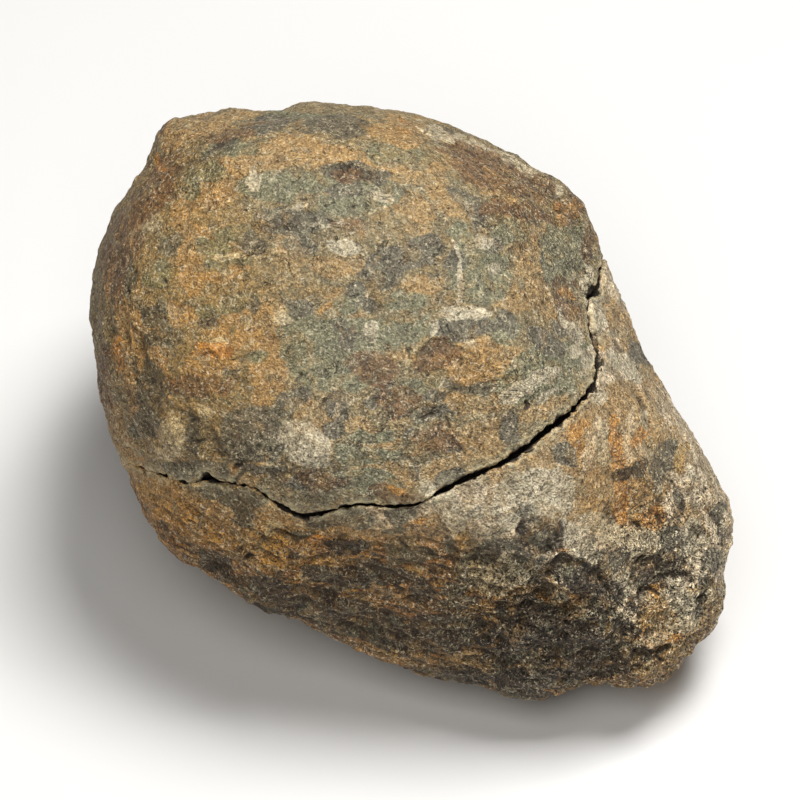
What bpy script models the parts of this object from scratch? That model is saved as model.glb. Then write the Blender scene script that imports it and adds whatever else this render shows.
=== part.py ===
"""A split fossil nodule: a weathered siltstone concretion, about 74 mm long, that was cracked open and closed again.

It is two pieces of stone. upper_half is the domed half that lies on top like a lid, and lower_half is the longer
half below it, which runs out to a blunt nose and rests on a small flat spot. The crack between them runs all the
way round the stone.

The stone is shaped in a face frame, which looks square at its broad front face: across to the right, up the face,
and out of it. That frame is then leaned back to the attitude in which the stone rests. The origin is on the
surface that the stone rests on, right below the middle of the stone.
"""

import math

import bmesh
import bpy
import numpy as np
from mathutils import Matrix, Vector, noise
from mathutils.bvhtree import BVHTree

MM = 0.001

# The attitude. The front face's outward direction points this far above the horizon.
FACE_LEAN = math.radians(50.0)
REST_HEIGHT = 23.5 * MM  # from the surface that it rests on up to the middle of the stone

# The body, in the face frame.
FRONT_DEPTH = 23.0 * MM  # from the middle out to the front of the dome
BACK_DEPTH = 24.0 * MM
FULLNESS = 0.80  # 1 is an ellipsoid; smaller is fuller, with a flatter face and a tighter rim
BROAD_SPAN = math.radians(32.0)  # away from the rim, the outline's knobs are averaged out over this angle
RIM_SPAN = math.radians(20.0)  # how far from the rim, in latitude, the knobs reach
LONG_AXIS = Vector((0.75, -0.66, 0.0)).normalized()  # across the face, from the domed end to the nose
LONG_HALF = 37.0 * MM
NOSE_TAPER = 0.17  # the share by which the nose end is thinner than the middle
BACK_SHIFT = 0.28  # how much the back bulges towards the domed end, so that the stone balances on its flat spot

# The outline of the stone seen square to its face, as (across, up) in millimetres from the middle, clockwise
# from the knob behind the dome.
OUTLINE = [
    (-21.2, 27.9), (-17.5, 25.6), (-16.2, 27.8), (-13.6, 27.7), (-10.6, 25.6), (-9.7, 28.0), (-4.8, 27.8),
    (1.0, 27.4), (4.8, 26.2), (10.8, 24.0), (14.5, 21.7), (17.9, 19.8), (19.2, 17.6), (20.2, 14.3),
    (21.5, 11.1), (23.6, 5.5), (26.8, -0.2), (29.9, -5.1), (30.9, -8.2), (32.6, -11.4), (33.5, -13.5),
    (32.3, -14.6), (31.9, -17.1), (31.7, -21.6), (30.0, -23.9), (28.0, -25.1), (26.8, -27.7), (23.5, -28.0),
    (20.2, -27.5), (17.4, -27.9), (15.2, -29.5), (12.8, -29.5), (9.4, -28.2), (4.8, -27.6), (1.0, -26.0),
    (-4.8, -23.4), (-10.0, -20.8), (-12.2, -20.2), (-14.9, -18.7), (-19.7, -15.8), (-22.3, -13.2),
    (-24.4, -9.1), (-26.9, -3.4), (-27.9, 2.9), (-28.5, 8.1), (-28.0, 13.2), (-26.5, 17.9), (-23.7, 20.9),
    (-23.0, 22.4), (-22.3, 25.3), (-21.4, 26.3),
]

# Flats worn on the body: the direction each faces, its distance from the middle, and how much it takes off.
FLATS = [
    ((0.53, 0.82, 0.22), 24.5 * MM, 0.75),  # the bevel along the top right of the dome
    ((0.80, 0.38, 0.46), 21.5 * MM, 0.70),  # the flank from the end of the crack down to the nose
    ((0.67, -0.29, 0.68), 26.0 * MM, 0.80),  # the end of the nose
    ((-0.08, -0.77, 0.63), 20.8 * MM, 0.80),  # the underside of the nose, which meets its end in a blunt ridge
    ((-0.62, -0.55, 0.56), 22.0 * MM, 0.45),  # the lower left side
    ((-0.10, 0.20, 0.97), 21.7 * MM, 0.50),  # the broad top of the dome
]

FLAT_ROUNDING = 1.8 * MM
FLAT_RIM = math.radians(12.0)  # the flats fade out this close to the rim

# Low swellings and hollows: (across, up, out) in millimetres, their radius and their height.
SWELLINGS = [
    ((13.0, -12.5, 19.0), 2.6 * MM, 0.60 * MM),  # lumps over the nose end
    ((17.5, -17.0, 15.3), 2.4 * MM, 0.70 * MM),
    ((13.0, -20.9, 11.3), 3.0 * MM, 0.70 * MM),
    ((20.3, -23.1, 9.4), 3.2 * MM, 0.80 * MM),
    ((24.8, -16.4, 12.6), 2.5 * MM, 0.60 * MM),
    ((29.3, -16.4, 7.4), 2.8 * MM, 0.60 * MM),
    ((23.9, -25.3, 6.5), 2.6 * MM, 0.60 * MM),
    ((27.6, -20.8, 7.6), 3.0 * MM, 0.50 * MM),
    ((19.3, -10.2, 17.3), 4.0 * MM, 0.45 * MM),
    ((25.0, -4.3, 8.7), 4.5 * MM, 0.50 * MM),
    ((10.2, -7.8, 20.5), 3.5 * MM, 0.35 * MM),
    ((20.7, -7.3, 16.0), 1.8 * MM, -0.90 * MM),  # pits and hollows between them
    ((15.4, -14.6, 17.5), 1.9 * MM, -0.70 * MM),
    ((14.8, -18.4, 14.2), 1.9 * MM, -0.70 * MM),
    ((16.5, -20.9, 11.5), 1.9 * MM, -0.60 * MM),
    ((22.1, -18.4, 13.2), 2.2 * MM, -0.60 * MM),
    ((9.3, -15.8, 16.5), 2.4 * MM, -0.50 * MM),
    ((23.5, -21.0, 10.4), 1.9 * MM, -0.60 * MM),
    ((26.4, -24.4, 5.7), 1.9 * MM, -0.60 * MM),
    ((24.8, -12.5, 12.7), 2.5 * MM, -0.50 * MM),
    ((19.9, -26.7, 5.6), 2.8 * MM, -0.90 * MM),  # the hollow under the nose
    ((29.3, -12.8, 7.5), 2.6 * MM, -0.40 * MM),
    ((-21.5, 21.5, 9.0), 3.6 * MM, -1.00 * MM),  # the furrow between the dome and the knob behind it
    ((-18.8, 23.6, 9.0), 3.6 * MM, -1.20 * MM),
    ((-15.7, 25.0, 9.0), 3.4 * MM, -1.00 * MM),
    ((-12.0, 25.8, 9.0), 3.2 * MM, -0.70 * MM),
    ((5.1, 6.1, 21.4), 4.0 * MM, -0.40 * MM),  # flake scars and low places on the dome
    ((-12.3, -3.4, 20.6), 4.0 * MM, -0.45 * MM),
    ((-8.3, 15.0, 20.0), 4.5 * MM, -0.35 * MM),
    ((15.8, 18.9, 4.1), 2.4 * MM, -0.60 * MM),
    ((-0.4, 19.4, 18.0), 4.0 * MM, -0.30 * MM),
    ((7.4, 2.3, 21.4), 4.5 * MM, 0.40 * MM),  # broad lumps on the dome
    ((-8.2, -4.9, 21.3), 2.8 * MM, 0.35 * MM),
    ((-15.2, 7.8, 20.0), 6.0 * MM, 0.40 * MM),
    ((-4.1, 10.1, 20.9), 5.0 * MM, 0.35 * MM),
    ((-19.4, -3.3, 16.8), 3.0 * MM, 0.35 * MM),
    ((-14.7, -9.8, 15.5), 3.2 * MM, -0.50 * MM),  # the side below the crack
    ((-16.8, -15.9, 6.7), 2.6 * MM, -0.50 * MM),
    ((-3.6, -21.5, 5.9), 3.2 * MM, -0.50 * MM),
    ((-22.5, -9.2, 7.0), 2.6 * MM, 0.50 * MM),
    ((-11.4, -15.7, 11.3), 3.4 * MM, 0.60 * MM),
    ((3.3, -19.2, 11.5), 4.0 * MM, 0.40 * MM),
    ((-5.5, -12.5, 16.8), 2.6 * MM, -0.40 * MM),
    ((8.0, 16.0, -19.0), 8.0 * MM, 1.2 * MM),  # lumps on the back
    ((-12.0, 10.0, -18.0), 9.0 * MM, 1.0 * MM),
    ((16.0, -6.0, -16.0), 7.0 * MM, 1.2 * MM),
    ((2.0, 4.0, -21.0), 6.0 * MM, -0.8 * MM),
]

# Roughness of the whole skin: (wavelength, height), coarse to fine.
RELIEF = [(13.0 * MM, 0.55 * MM), (6.0 * MM, 0.28 * MM)]

# Worn edges of the stone's beds, which show as low steps on the side below the crack.
BEDDING_FACING = Vector((0.19, 0.83, 0.52)).normalized()
BED_THICKNESS = 4.6 * MM
BED_STEP = 0.32 * MM
BEDS_MIDDLE = Vector((-9.0, -18.0, 10.0)) * MM
BEDS_REACH = 14.0 * MM

# The lower lip of the crack where it crosses the face: (across, up, opening) in millimetres, from left to right.
CRACK = [
    (-25.4, -6.5, 0.44), (-24.2, -6.8, 0.42), (-23.0, -7.3, 0.39), (-22.4, -7.5, 0.76), (-21.8, -7.8, 1.03),
    (-21.2, -7.8, 0.81), (-20.7, -7.8, 0.41), (-20.1, -8.1, 0.39), (-19.4, -8.3, 0.41), (-18.6, -8.3, 0.46),
    (-18.0, -8.2, 0.48), (-17.6, -8.2, 1.18), (-17.2, -8.2, 1.69), (-16.9, -8.2, 1.18), (-16.5, -8.2, 0.47),
    (-15.8, -8.2, 0.44), (-15.3, -8.3, 0.43), (-14.3, -8.5, 0.44), (-13.6, -8.5, 0.45), (-12.7, -8.6, 0.43),
    (-12.4, -8.9, 0.45), (-12.0, -9.2, 0.44), (-11.4, -9.5, 0.44), (-11.0, -9.9, 0.45), (-10.2, -10.5, 0.45),
    (-9.3, -10.9, 0.45), (-9.0, -11.1, 0.46), (-8.6, -11.3, 0.46), (-7.8, -11.4, 0.49), (-7.4, -11.3, 0.50),
    (-6.6, -11.2, 0.51), (-6.0, -11.0, 0.54), (-5.5, -10.9, 0.53), (-4.6, -10.6, 0.52), (-3.7, -10.4, 0.52),
    (-2.7, -10.2, 0.64), (-2.3, -10.3, 0.50), (-1.8, -10.3, 0.50), (-0.9, -10.4, 0.51), (0.0, -10.4, 0.51),
    (1.0, -10.4, 0.52), (1.9, -10.4, 0.65), (2.8, -10.2, 0.67), (3.7, -9.9, 1.11), (4.6, -9.3, 1.13),
    (5.6, -8.8, 1.01), (6.5, -8.3, 0.88), (7.4, -7.7, 0.85), (8.3, -7.4, 0.64), (9.2, -7.1, 0.88),
    (10.2, -6.7, 0.85), (10.8, -6.4, 1.07), (11.3, -6.1, 0.99), (12.0, -5.6, 0.96), (12.9, -4.9, 1.01),
    (13.9, -4.1, 0.97), (14.8, -3.4, 1.00), (15.7, -2.8, 1.01), (16.7, -2.1, 1.10), (17.2, -1.7, 1.44),
    (17.7, -0.9, 1.10), (18.6, -0.2, 1.15), (19.3, 0.6, 1.14), (19.6, 1.4, 1.24), (19.7, 2.3, 1.07),
    (20.0, 3.0, 1.57), (19.9, 3.5, 1.28), (19.7, 4.2, 0.83), (19.4, 4.7, 0.77), (19.2, 5.1, 1.02),
    (19.0, 5.5, 0.96), (18.9, 6.1, 1.22), (18.9, 7.0, 1.06), (18.8, 8.0, 0.65), (18.8, 9.0, 0.65),
    (18.9, 9.1, 0.88), (19.5, 9.5, 1.90), (20.0, 9.9, 1.21), (20.1, 10.5, 0.63), (20.1, 11.3, 0.59),
    (20.1, 11.9, 0.56),
]

# The crack round the back: (degrees round the stone from +X, height above the middle in millimetres).
BACK_CRACK = [(28, 7.6), (37, 6.2), (50, 4.6), (63, 3.4), (78, 0.8), (94, -0.6), (110, -3.2), (127, -3.8), (143, -6.2),
              (159, -6.0), (175, -7.0)]
BACK_OPENING = 0.34 * MM
CORE_OPENING = 0.34 * MM  # between the halves, well inside the stone

# The crack meets the skin nearly squarely: just inside its lip it dives by this much, as (degrees, millimetres).
DIVE = [(-176, 0.5), (-155, 1.3), (-125, 2.0), (-90, 2.3), (-50, 2.6), (-12, 3.0), (14, 3.0), (30, 1.2), (60, 0.3),
        (150, 0.3)]

SKIN_DETAIL = 5  # times that the starting icosahedron is divided
FINE_FACING = Vector((0.56, -0.56, 0.61)).normalized()  # the nose end is knobbly, so it's divided once more
FINE_SPREAD = math.radians(33.0)
BODY_SMOOTHINGS = 1  # passes over the bare body, before its swellings and roughness
SPOKES = 168  # of the crack's surface
CORE_RING = 0.5  # rings of the crack's surface, as shares of the way out to the skin
DIVE_RING = 0.90
OUTER_RING = 1.10
BLOCK_REACH = 50.0 * MM  # the cutting blocks reach past the stone

STONE_UPPER = ("weathered siltstone, upper", (0.38, 0.30, 0.20, 1.0))
STONE_LOWER = ("weathered siltstone, lower", (0.27, 0.22, 0.16, 1.0))
STONE_ROUGHNESS = 0.85


def clear_scene():
    for obj in list(bpy.data.objects):
        bpy.data.objects.remove(obj)


def closed_curve(points, steps=6):
    """A smooth closed curve through the points, as a list of (x, y)."""
    count = len(points)
    curve = []
    for i in range(count):
        before, start, end, after = (Vector(points[(i + k) % count]) for k in (-1, 0, 1, 2))
        for step in range(steps):
            t = step / steps
            curve.append(
                0.5 * (2 * start + (end - before) * t + (2 * before - 5 * start + 4 * end - after) * t**2
                       + (3 * start - before - 3 * end + after) * t**3)
            )
    return curve


class Outline:
    """The outline's radius at any angle, averaged over a span of angles to either side."""

    SAMPLES = np.linspace(-1.0, 1.0, 13)
    WEIGHTS = np.cos(SAMPLES * math.pi / 2) + 0.02

    def __init__(self, points):
        curve = [Vector(p) * MM for p in closed_curve(points)]
        pairs = sorted((math.atan2(p.y, p.x), p.length) for p in curve)
        self.angles, self.radii = (np.array(column) for column in zip(*pairs))

    def radius(self, angle, span):
        radii = np.interp(angle + self.SAMPLES * span, self.angles, self.radii, period=2 * math.pi)
        return float(np.average(radii, weights=self.WEIGHTS))


def body_point(direction, outline):
    """Where the bare body's skin lies in this direction from the middle."""
    angle = math.atan2(direction.y, direction.x)
    latitude = math.asin(max(-1.0, min(1.0, direction.z)))
    off_rim = 1 - math.exp(-((latitude / RIM_SPAN) ** 2))
    reach = outline.radius(angle, BROAD_SPAN * off_rim) * math.cos(latitude) ** FULLNESS
    depth = FRONT_DEPTH if direction.z > 0 else BACK_DEPTH
    out = math.copysign(depth * abs(direction.z) ** FULLNESS, direction.z)
    along = Vector((reach * math.cos(angle), reach * math.sin(angle), 0)).dot(LONG_AXIS) / LONG_HALF
    taper = 1 - NOSE_TAPER * along
    if out < 0:
        taper -= BACK_SHIFT * along
    return Vector((reach * math.cos(angle), reach * math.sin(angle), out * taper))


def worn(point):
    """The point after the flats are worn onto the body, with rounded edges. The rim keeps its outline."""
    latitude = math.atan2(point.z, math.hypot(point.x, point.y))
    off_rim = 1 - math.exp(-((latitude / FLAT_RIM) ** 2))
    for facing, distance, share in FLATS:
        normal = Vector(facing).normalized()
        proud = point.dot(normal) - distance
        point = point - normal * off_rim * share * (proud + math.hypot(proud, FLAT_ROUNDING)) / 2
    return point


def swelling_height(point):
    return sum(
        height * math.exp(-((point - Vector(place) * MM).length / radius) ** 2)
        for place, radius, height in SWELLINGS
    )


def relief_height(point):
    return sum(height * noise.noise(point / wavelength) for wavelength, height in RELIEF)


def bed_height(point):
    """Each bed stands proud at its lower edge and slopes back to the next one up."""
    near = math.exp(-(((point - BEDS_MIDDLE).length / BEDS_REACH) ** 4))
    wander = 0.6 * noise.noise(point / (8 * MM))
    level = point.dot(BEDDING_FACING) / BED_THICKNESS + wander
    return near * BED_STEP * (0.5 - abs(math.sin(math.pi * level)))


def face_to_rest():
    """Leans the face frame back and lifts it to its height over the resting surface."""
    lean = Matrix.Rotation(math.radians(90) - FACE_LEAN, 4, "X")
    return Matrix.Translation((0, 0, REST_HEIGHT)) @ lean


def whole_stone():
    """A bmesh of the uncracked stone, at rest, with its flat spot."""
    outline = Outline(OUTLINE)
    stone = bmesh.new()
    bmesh.ops.create_icosphere(stone, subdivisions=SKIN_DETAIL, radius=1.0)
    fine = [e for e in stone.edges if all(v.co.angle(FINE_FACING) < FINE_SPREAD for v in e.verts)]
    bmesh.ops.subdivide_edges(stone, edges=fine, cuts=1, use_grid_fill=True)
    bmesh.ops.triangulate(stone, faces=stone.faces[:])
    for vert in stone.verts:
        vert.co = worn(body_point(vert.co.normalized(), outline))
    for _ in range(BODY_SMOOTHINGS):
        bmesh.ops.smooth_vert(stone, verts=stone.verts, factor=0.5, use_axis_x=True, use_axis_y=True,
                              use_axis_z=True)
    stone.normal_update()
    heights = [swelling_height(v.co) + relief_height(v.co) + bed_height(v.co) for v in stone.verts]
    moved = [v.co + v.normal * h for v, h in zip(stone.verts, heights)]
    for vert, place in zip(stone.verts, moved):
        vert.co = place
    bmesh.ops.transform(stone, matrix=face_to_rest(), verts=stone.verts)
    cut = bmesh.ops.bisect_plane(
        stone, geom=stone.verts[:] + stone.edges[:] + stone.faces[:], dist=1e-6,
        plane_co=(0, 0, 0), plane_no=(0, 0, 1), clear_inner=True,
    )
    rim = [e for e in cut["geom_cut"] if isinstance(e, bmesh.types.BMEdge)]
    bmesh.ops.holes_fill(stone, edges=rim)
    return stone


def crack_on_skin(stone):
    """The crack's lower lip all round the skin: a list of (angle, distance from the axis, height, opening)."""
    tree = BVHTree.FromBMesh(stone)
    to_rest = face_to_rest()
    inward = to_rest.to_3x3() @ Vector((0, 0, -1))
    lip = []
    for across, up, opening in CRACK:
        start = to_rest @ (Vector((across, up, 60.0)) * MM)
        hit = tree.ray_cast(start, inward)[0]
        lip.append((math.atan2(hit.y, hit.x), math.hypot(hit.x, hit.y), hit.z, opening * MM))
    for degrees, height in BACK_CRACK:
        angle = math.radians(degrees)
        level = REST_HEIGHT + height * MM
        outside = Vector((math.cos(angle), math.sin(angle), 0)) * BLOCK_REACH
        hit = tree.ray_cast(outside + Vector((0, 0, level)), -outside.normalized())[0]
        lip.append((angle, math.hypot(hit.x, hit.y), level, BACK_OPENING))
    return sorted(lip)


class CrackSurface:
    """The surface that the halves part on: a height over the plan, with its edge on the skin along the crack."""

    def __init__(self, lip):
        self.angles, self.reaches, self.levels, self.openings = (np.array(column) for column in zip(*lip))
        plan = np.stack([self.reaches * np.cos(self.angles), self.reaches * np.sin(self.angles),
                         np.ones(len(lip))], axis=1)
        self.plane = np.linalg.lstsq(plan, self.levels, rcond=None)[0]

    def at(self, values, angle):
        return float(np.interp(angle, self.angles, values, period=2 * math.pi))

    def reach(self, angle):
        return self.at(self.reaches, angle)

    def flat_height(self, x, y):
        return float(self.plane @ (x, y, 1))

    def height(self, angle, share):
        """At this angle, this share of the way out to the skin."""
        reach = self.reach(angle)
        across, along = math.cos(angle), math.sin(angle)
        rise = self.at(self.levels, angle) - self.flat_height(across * reach, along * reach)
        place = Vector((across, along, 0)) * reach * share
        level = self.flat_height(place.x, place.y) + rise * rim_share(share)
        if share >= DIVE_RING:
            dive = float(np.interp(math.degrees(angle), *zip(*DIVE), period=360)) * MM
            level += dive * (share - 1) / (1 - DIVE_RING)
        return level

    def opening(self, angle, share):
        return CORE_OPENING + (self.at(self.openings, angle) - CORE_OPENING) * rim_share(share)


def rim_share(share):
    """How closely the crack's surface follows its own lip: wholly near the skin and not at all in the middle."""
    return min(1.0, share / DIVE_RING) ** 3


def crack_block(name, surface, opened):
    """A cutting block that holds everything above the crack: its underside is the crack's surface, and the upper
    lip where opened is true."""
    shares = (0.0, CORE_RING, DIVE_RING, OUTER_RING)
    block = bmesh.new()
    spoke = [block.verts.new((float(k), 0, 0)) for k in range(len(shares) + 1)]
    edges = [block.edges.new(pair) for pair in zip(spoke, spoke[1:])]
    bmesh.ops.spin(
        block, geom=spoke + edges, axis=(0, 0, 1), cent=(0, 0, 0), angle=2 * math.pi, steps=SPOKES,
        use_merge=True,
    )
    bmesh.ops.remove_doubles(block, verts=block.verts, dist=1e-5)
    top = bmesh.ops.extrude_face_region(block, geom=block.faces[:])
    lifted = {g for g in top["geom"] if isinstance(g, bmesh.types.BMVert)}
    for vert in block.verts:
        ring = round(math.hypot(vert.co.x, vert.co.y))
        angle = math.atan2(vert.co.y, vert.co.x)
        share = shares[ring] if ring < len(shares) else OUTER_RING
        reach = surface.reach(angle) * share if ring < len(shares) else BLOCK_REACH
        level = surface.height(angle, share)
        if opened:
            level += surface.opening(angle, share)
        if vert in lifted:
            level = 2 * BLOCK_REACH
        vert.co = (reach * math.cos(angle), reach * math.sin(angle), level)
    bmesh.ops.recalc_face_normals(block, faces=block.faces)
    return hidden_cutter(name, block)


def mesh_object(name, shape):
    mesh = bpy.data.meshes.new(name)
    shape.to_mesh(mesh)
    obj = bpy.data.objects.new(name, mesh)
    bpy.context.scene.collection.objects.link(obj)
    return obj


def hidden_cutter(name, shape):
    cutter = mesh_object(name, shape)
    cutter.hide_render = True
    cutter.display_type = "WIRE"
    return cutter


def stone_material(name, colour):
    material = bpy.data.materials.new(name)
    material.use_nodes = True
    shader = material.node_tree.nodes["Principled BSDF"]
    shader.inputs["Base Color"].default_value = colour
    shader.inputs["Roughness"].default_value = STONE_ROUGHNESS
    shader.inputs["Metallic"].default_value = 0.0
    return material


def half(name, stone, operation, cutter, finish):
    """One half of the stone: the whole stone, cut by a block."""
    obj = mesh_object(name, stone)
    obj.data.materials.append(stone_material(*finish))
    cut = obj.modifiers.new("crack", "BOOLEAN")
    cut.operation = operation
    cut.solver = "EXACT"
    cut.object = cutter
    return obj


def main():
    clear_scene()
    stone = whole_stone()
    surface = CrackSurface(crack_on_skin(stone))
    above_upper_lip = crack_block("above_upper_lip", surface, opened=True)
    above_lower_lip = crack_block("above_lower_lip", surface, opened=False)
    half("upper_half", stone, "INTERSECT", above_upper_lip, STONE_UPPER)
    half("lower_half", stone, "DIFFERENCE", above_lower_lip, STONE_LOWER)
    stone.free()


main()
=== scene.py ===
# %% [markdown]
# # A split fossil nodule
# This stone is a nodule: mud that hardened round something buried, and weathered out as a
# lump. A hammer has cracked it, and its two halves are closed again. The CAD model gives
# both halves their place and main form. This lesson gives them a weathered skin: ledges,
# pits and grain as real geometry, and stains as procedural materials.

# %% Load the frame
import math

import bmesh
import bpy
import numpy as np
from mathutils import Matrix, Vector, noise
from mathutils.bvhtree import BVHTree
from mathutils.kdtree import KDTree


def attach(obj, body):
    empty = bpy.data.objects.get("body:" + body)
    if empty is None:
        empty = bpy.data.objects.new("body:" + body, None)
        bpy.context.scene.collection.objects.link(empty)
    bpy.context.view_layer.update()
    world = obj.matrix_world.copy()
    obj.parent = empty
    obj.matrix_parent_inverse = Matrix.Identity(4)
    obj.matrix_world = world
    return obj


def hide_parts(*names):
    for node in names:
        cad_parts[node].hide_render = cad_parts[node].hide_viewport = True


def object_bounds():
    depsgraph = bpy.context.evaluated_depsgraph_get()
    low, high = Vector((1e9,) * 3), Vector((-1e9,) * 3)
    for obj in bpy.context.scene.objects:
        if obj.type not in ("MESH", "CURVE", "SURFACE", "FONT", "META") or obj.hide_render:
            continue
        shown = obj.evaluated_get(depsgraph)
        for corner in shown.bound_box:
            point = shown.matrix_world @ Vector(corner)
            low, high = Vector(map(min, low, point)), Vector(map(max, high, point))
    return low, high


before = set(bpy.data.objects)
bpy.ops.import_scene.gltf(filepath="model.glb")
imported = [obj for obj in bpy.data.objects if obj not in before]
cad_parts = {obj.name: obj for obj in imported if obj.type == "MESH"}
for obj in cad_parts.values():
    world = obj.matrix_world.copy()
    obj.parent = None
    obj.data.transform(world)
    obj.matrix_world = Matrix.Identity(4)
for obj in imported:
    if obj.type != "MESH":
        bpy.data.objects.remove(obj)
CAD_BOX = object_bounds()
MM = 0.001
print("CAD box in mm:", [[round(value / MM, 2) for value in corner] for corner in CAD_BOX])

# %% [markdown]
# ## A map of the broad face
# The stone leans back, so world axes are awkward for placing marks on it. It's easier to
# have a flat map, as an eye half a metre in front of the broad face sees it: across and up
# in millimetres from the middle of the face. Every ledge, pit and stain below is placed on
# this map.

# %% The face map
FACE_LEAN = math.radians(50)
REST_HEIGHT = 23.5
EYE = np.array([0.96, -0.48, 500.0])
FACE_TO_REST = Matrix.Translation((0, 0, REST_HEIGHT * MM)) @ Matrix.Rotation(
    math.pi / 2 - FACE_LEAN, 4, "X"
)
TURN = np.array(FACE_TO_REST.to_3x3())
SHIFT = np.array([0, 0, REST_HEIGHT * MM])
EDGE_FADE = (-0.15, 0.1)


def face_coordinates(world):
    """Across, up and out of the broad face in mm, for rows of world points in metres."""
    return (world - SHIFT) @ TURN / MM


def on_map(face):
    """Where the eye in front of the broad face sees each point: across and up, in mm."""
    nearer = EYE[2] / (EYE[2] - face[:, 2:])
    return EYE[:2] + (face[:, :2] - EYE[:2]) * nearer


def smooth_step(low, high, values):
    """0 below low, 1 above high, and an S curve between."""
    share = np.clip((values - low) / (high - low), 0, 1)
    return share * share * (3 - 2 * share)


def seen_share(face, normals):
    """1 where the skin faces the eye, 0 where it faces away."""
    towards = EYE - face
    towards /= np.linalg.norm(towards, axis=1)[:, None]
    return smooth_step(*EDGE_FADE, ((normals @ TURN) * towards).sum(axis=1))


print("Eye to stone in mm:", EYE[2])

# %% [markdown]
# ## A finer skin for each half
# The CAD solids are a few thousand flat facets. A voxel remesh turns a copy of each into an
# even skin that is fine enough to carve. The crack's walls are found by looking across it:
# a point whose normal faces the other half, a short way off, is on a wall.

# %% Read a half and remesh it
SKIN_VOXEL = {"upper_half": 0.19 * MM, "lower_half": 0.215 * MM}
CRACK_REACH = 2.5 * MM
WALL_FACING = 0.5


def merged_copy(node):
    """A bmesh of the CAD solid, with its loose triangles joined."""
    solid = bmesh.new()
    solid.from_mesh(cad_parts[node].data)
    bmesh.ops.remove_doubles(solid, verts=solid.verts, dist=0.001 * MM)
    return solid


def tree_of(node):
    """A search tree of the CAD solid's surface."""
    solid = merged_copy(node)
    tree = BVHTree.FromBMesh(solid)
    solid.free()
    return tree


def add_piece(name, mesh):
    """A new object in the scene for a mesh."""
    piece = bpy.data.objects.new(name, mesh)
    bpy.context.scene.collection.objects.link(piece)
    return piece


def apply_modifiers(piece):
    """Bakes the piece's modifiers into its mesh."""
    graph = bpy.context.evaluated_depsgraph_get()
    baked = bpy.data.meshes.new_from_object(piece.evaluated_get(graph))
    piece.modifiers.clear()
    piece.vertex_groups.clear()
    piece.data = baked


def remeshed(name, node):
    """A finely and evenly meshed copy of a CAD half."""
    solid = merged_copy(node)
    mesh = bpy.data.meshes.new(name)
    solid.to_mesh(mesh)
    solid.free()
    piece = add_piece(name, mesh)
    remesh = piece.modifiers.new("even skin", "REMESH")
    remesh.mode = "VOXEL"
    remesh.voxel_size = SKIN_VOXEL[node]
    apply_modifiers(piece)
    print(name, "has", len(piece.data.vertices), "points after the remesh")
    return piece


def places(mesh):
    """The mesh's points as rows, in metres."""
    rows = np.empty(len(mesh.vertices) * 3, np.float32)
    mesh.vertices.foreach_get("co", rows)
    return rows.reshape(-1, 3).astype(float)


def directions(mesh):
    """The mesh's outward direction at each point, as rows."""
    rows = np.empty(len(mesh.vertices) * 3, np.float32)
    mesh.vertex_normals.foreach_get("vector", rows)
    return rows.reshape(-1, 3).astype(float)


def across_crack(points, other_tree):
    """For each point, the step to the nearest point of the other half."""
    return np.array([other_tree.find_nearest(Vector(p))[0] for p in points]) - points


def on_wall(points, normals, steps):
    """True for the points on the crack's walls."""
    lengths = np.linalg.norm(steps, axis=1)
    facing = (steps * normals).sum(axis=1) / np.maximum(lengths, 1e-9)
    return (facing > WALL_FACING) & (lengths < CRACK_REACH)


def distance_to(points, targets):
    """Each point's distance from the nearest of some target points."""
    tree = KDTree(len(targets))
    for index, target in enumerate(targets):
        tree.insert(target, index)
    tree.balance()
    return np.array([tree.find(point)[2] for point in points])


def lip_distance(mesh, wall, points):
    """Distance from the crack's lips, where wall meets skin, in mm."""
    ends = np.empty(len(mesh.edges) * 2, np.int32)
    mesh.edges.foreach_get("vertices", ends)
    ends = ends.reshape(-1, 2)
    crossing = ends[wall[ends[:, 0]] != wall[ends[:, 1]]]
    return distance_to(points, points[np.unique(crossing)]) / MM


# %% [markdown]
# ## Noise in millimetres
# Weathered stone has detail at every size. Each layer of it is a smooth noise with lumps of
# a stated size, so layers can be added like coats of paint.

# %% Noise helpers
LUMP_SHIFTS = (7.1, 3.7, 11.3)
CRUMB_SHIFTS = (5.3, 9.1, 2.9)
CRUMB_FALL = 0.9
CRUMB_GROWTH = 2.1
CRUMB_OCTAVES = 4


def lumps(points, size, seed):
    """Noise from about -1 to 1 with lumps of a size in mm; points are rows in mm."""
    shift = Vector([step * seed for step in LUMP_SHIFTS])
    return np.array([noise.noise(Vector(p) / size + shift) for p in points])


def crumble(points, size, seed):
    """Several octaves of noise whose largest lumps have a size in mm."""
    shift = Vector([step * seed for step in CRUMB_SHIFTS])
    shape = (CRUMB_FALL, CRUMB_GROWTH, CRUMB_OCTAVES)
    return np.array([noise.fractal(Vector(p) / size + shift, *shape) for p in points])


print("Noise at the middle of the map:", lumps([(0.0, 0.0, 0.0)], 1.0, 1).round(3))

# %% [markdown]
# ## Marks on the map
# A mark is an oval on the face map: its place across and up, its half length and half
# width, its turn in degrees and its strength. Its edge is bent by noise, so that it looks
# grown and not drawn. The same helper serves relief and stains.

# %% Mark helpers
WARPS = ((4.0, 1, 0.9), (1.3, 3, 0.45))


def warped(seen, face):
    """The map places, pushed about by noise so that marks get ragged edges."""
    bend = np.zeros_like(seen)
    for size, seed, reach in WARPS:
        sides = [lumps(face, size, seed), lumps(face, size, seed + 1)]
        bend += np.stack(sides, axis=1) * reach
    return seen + bend


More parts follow.
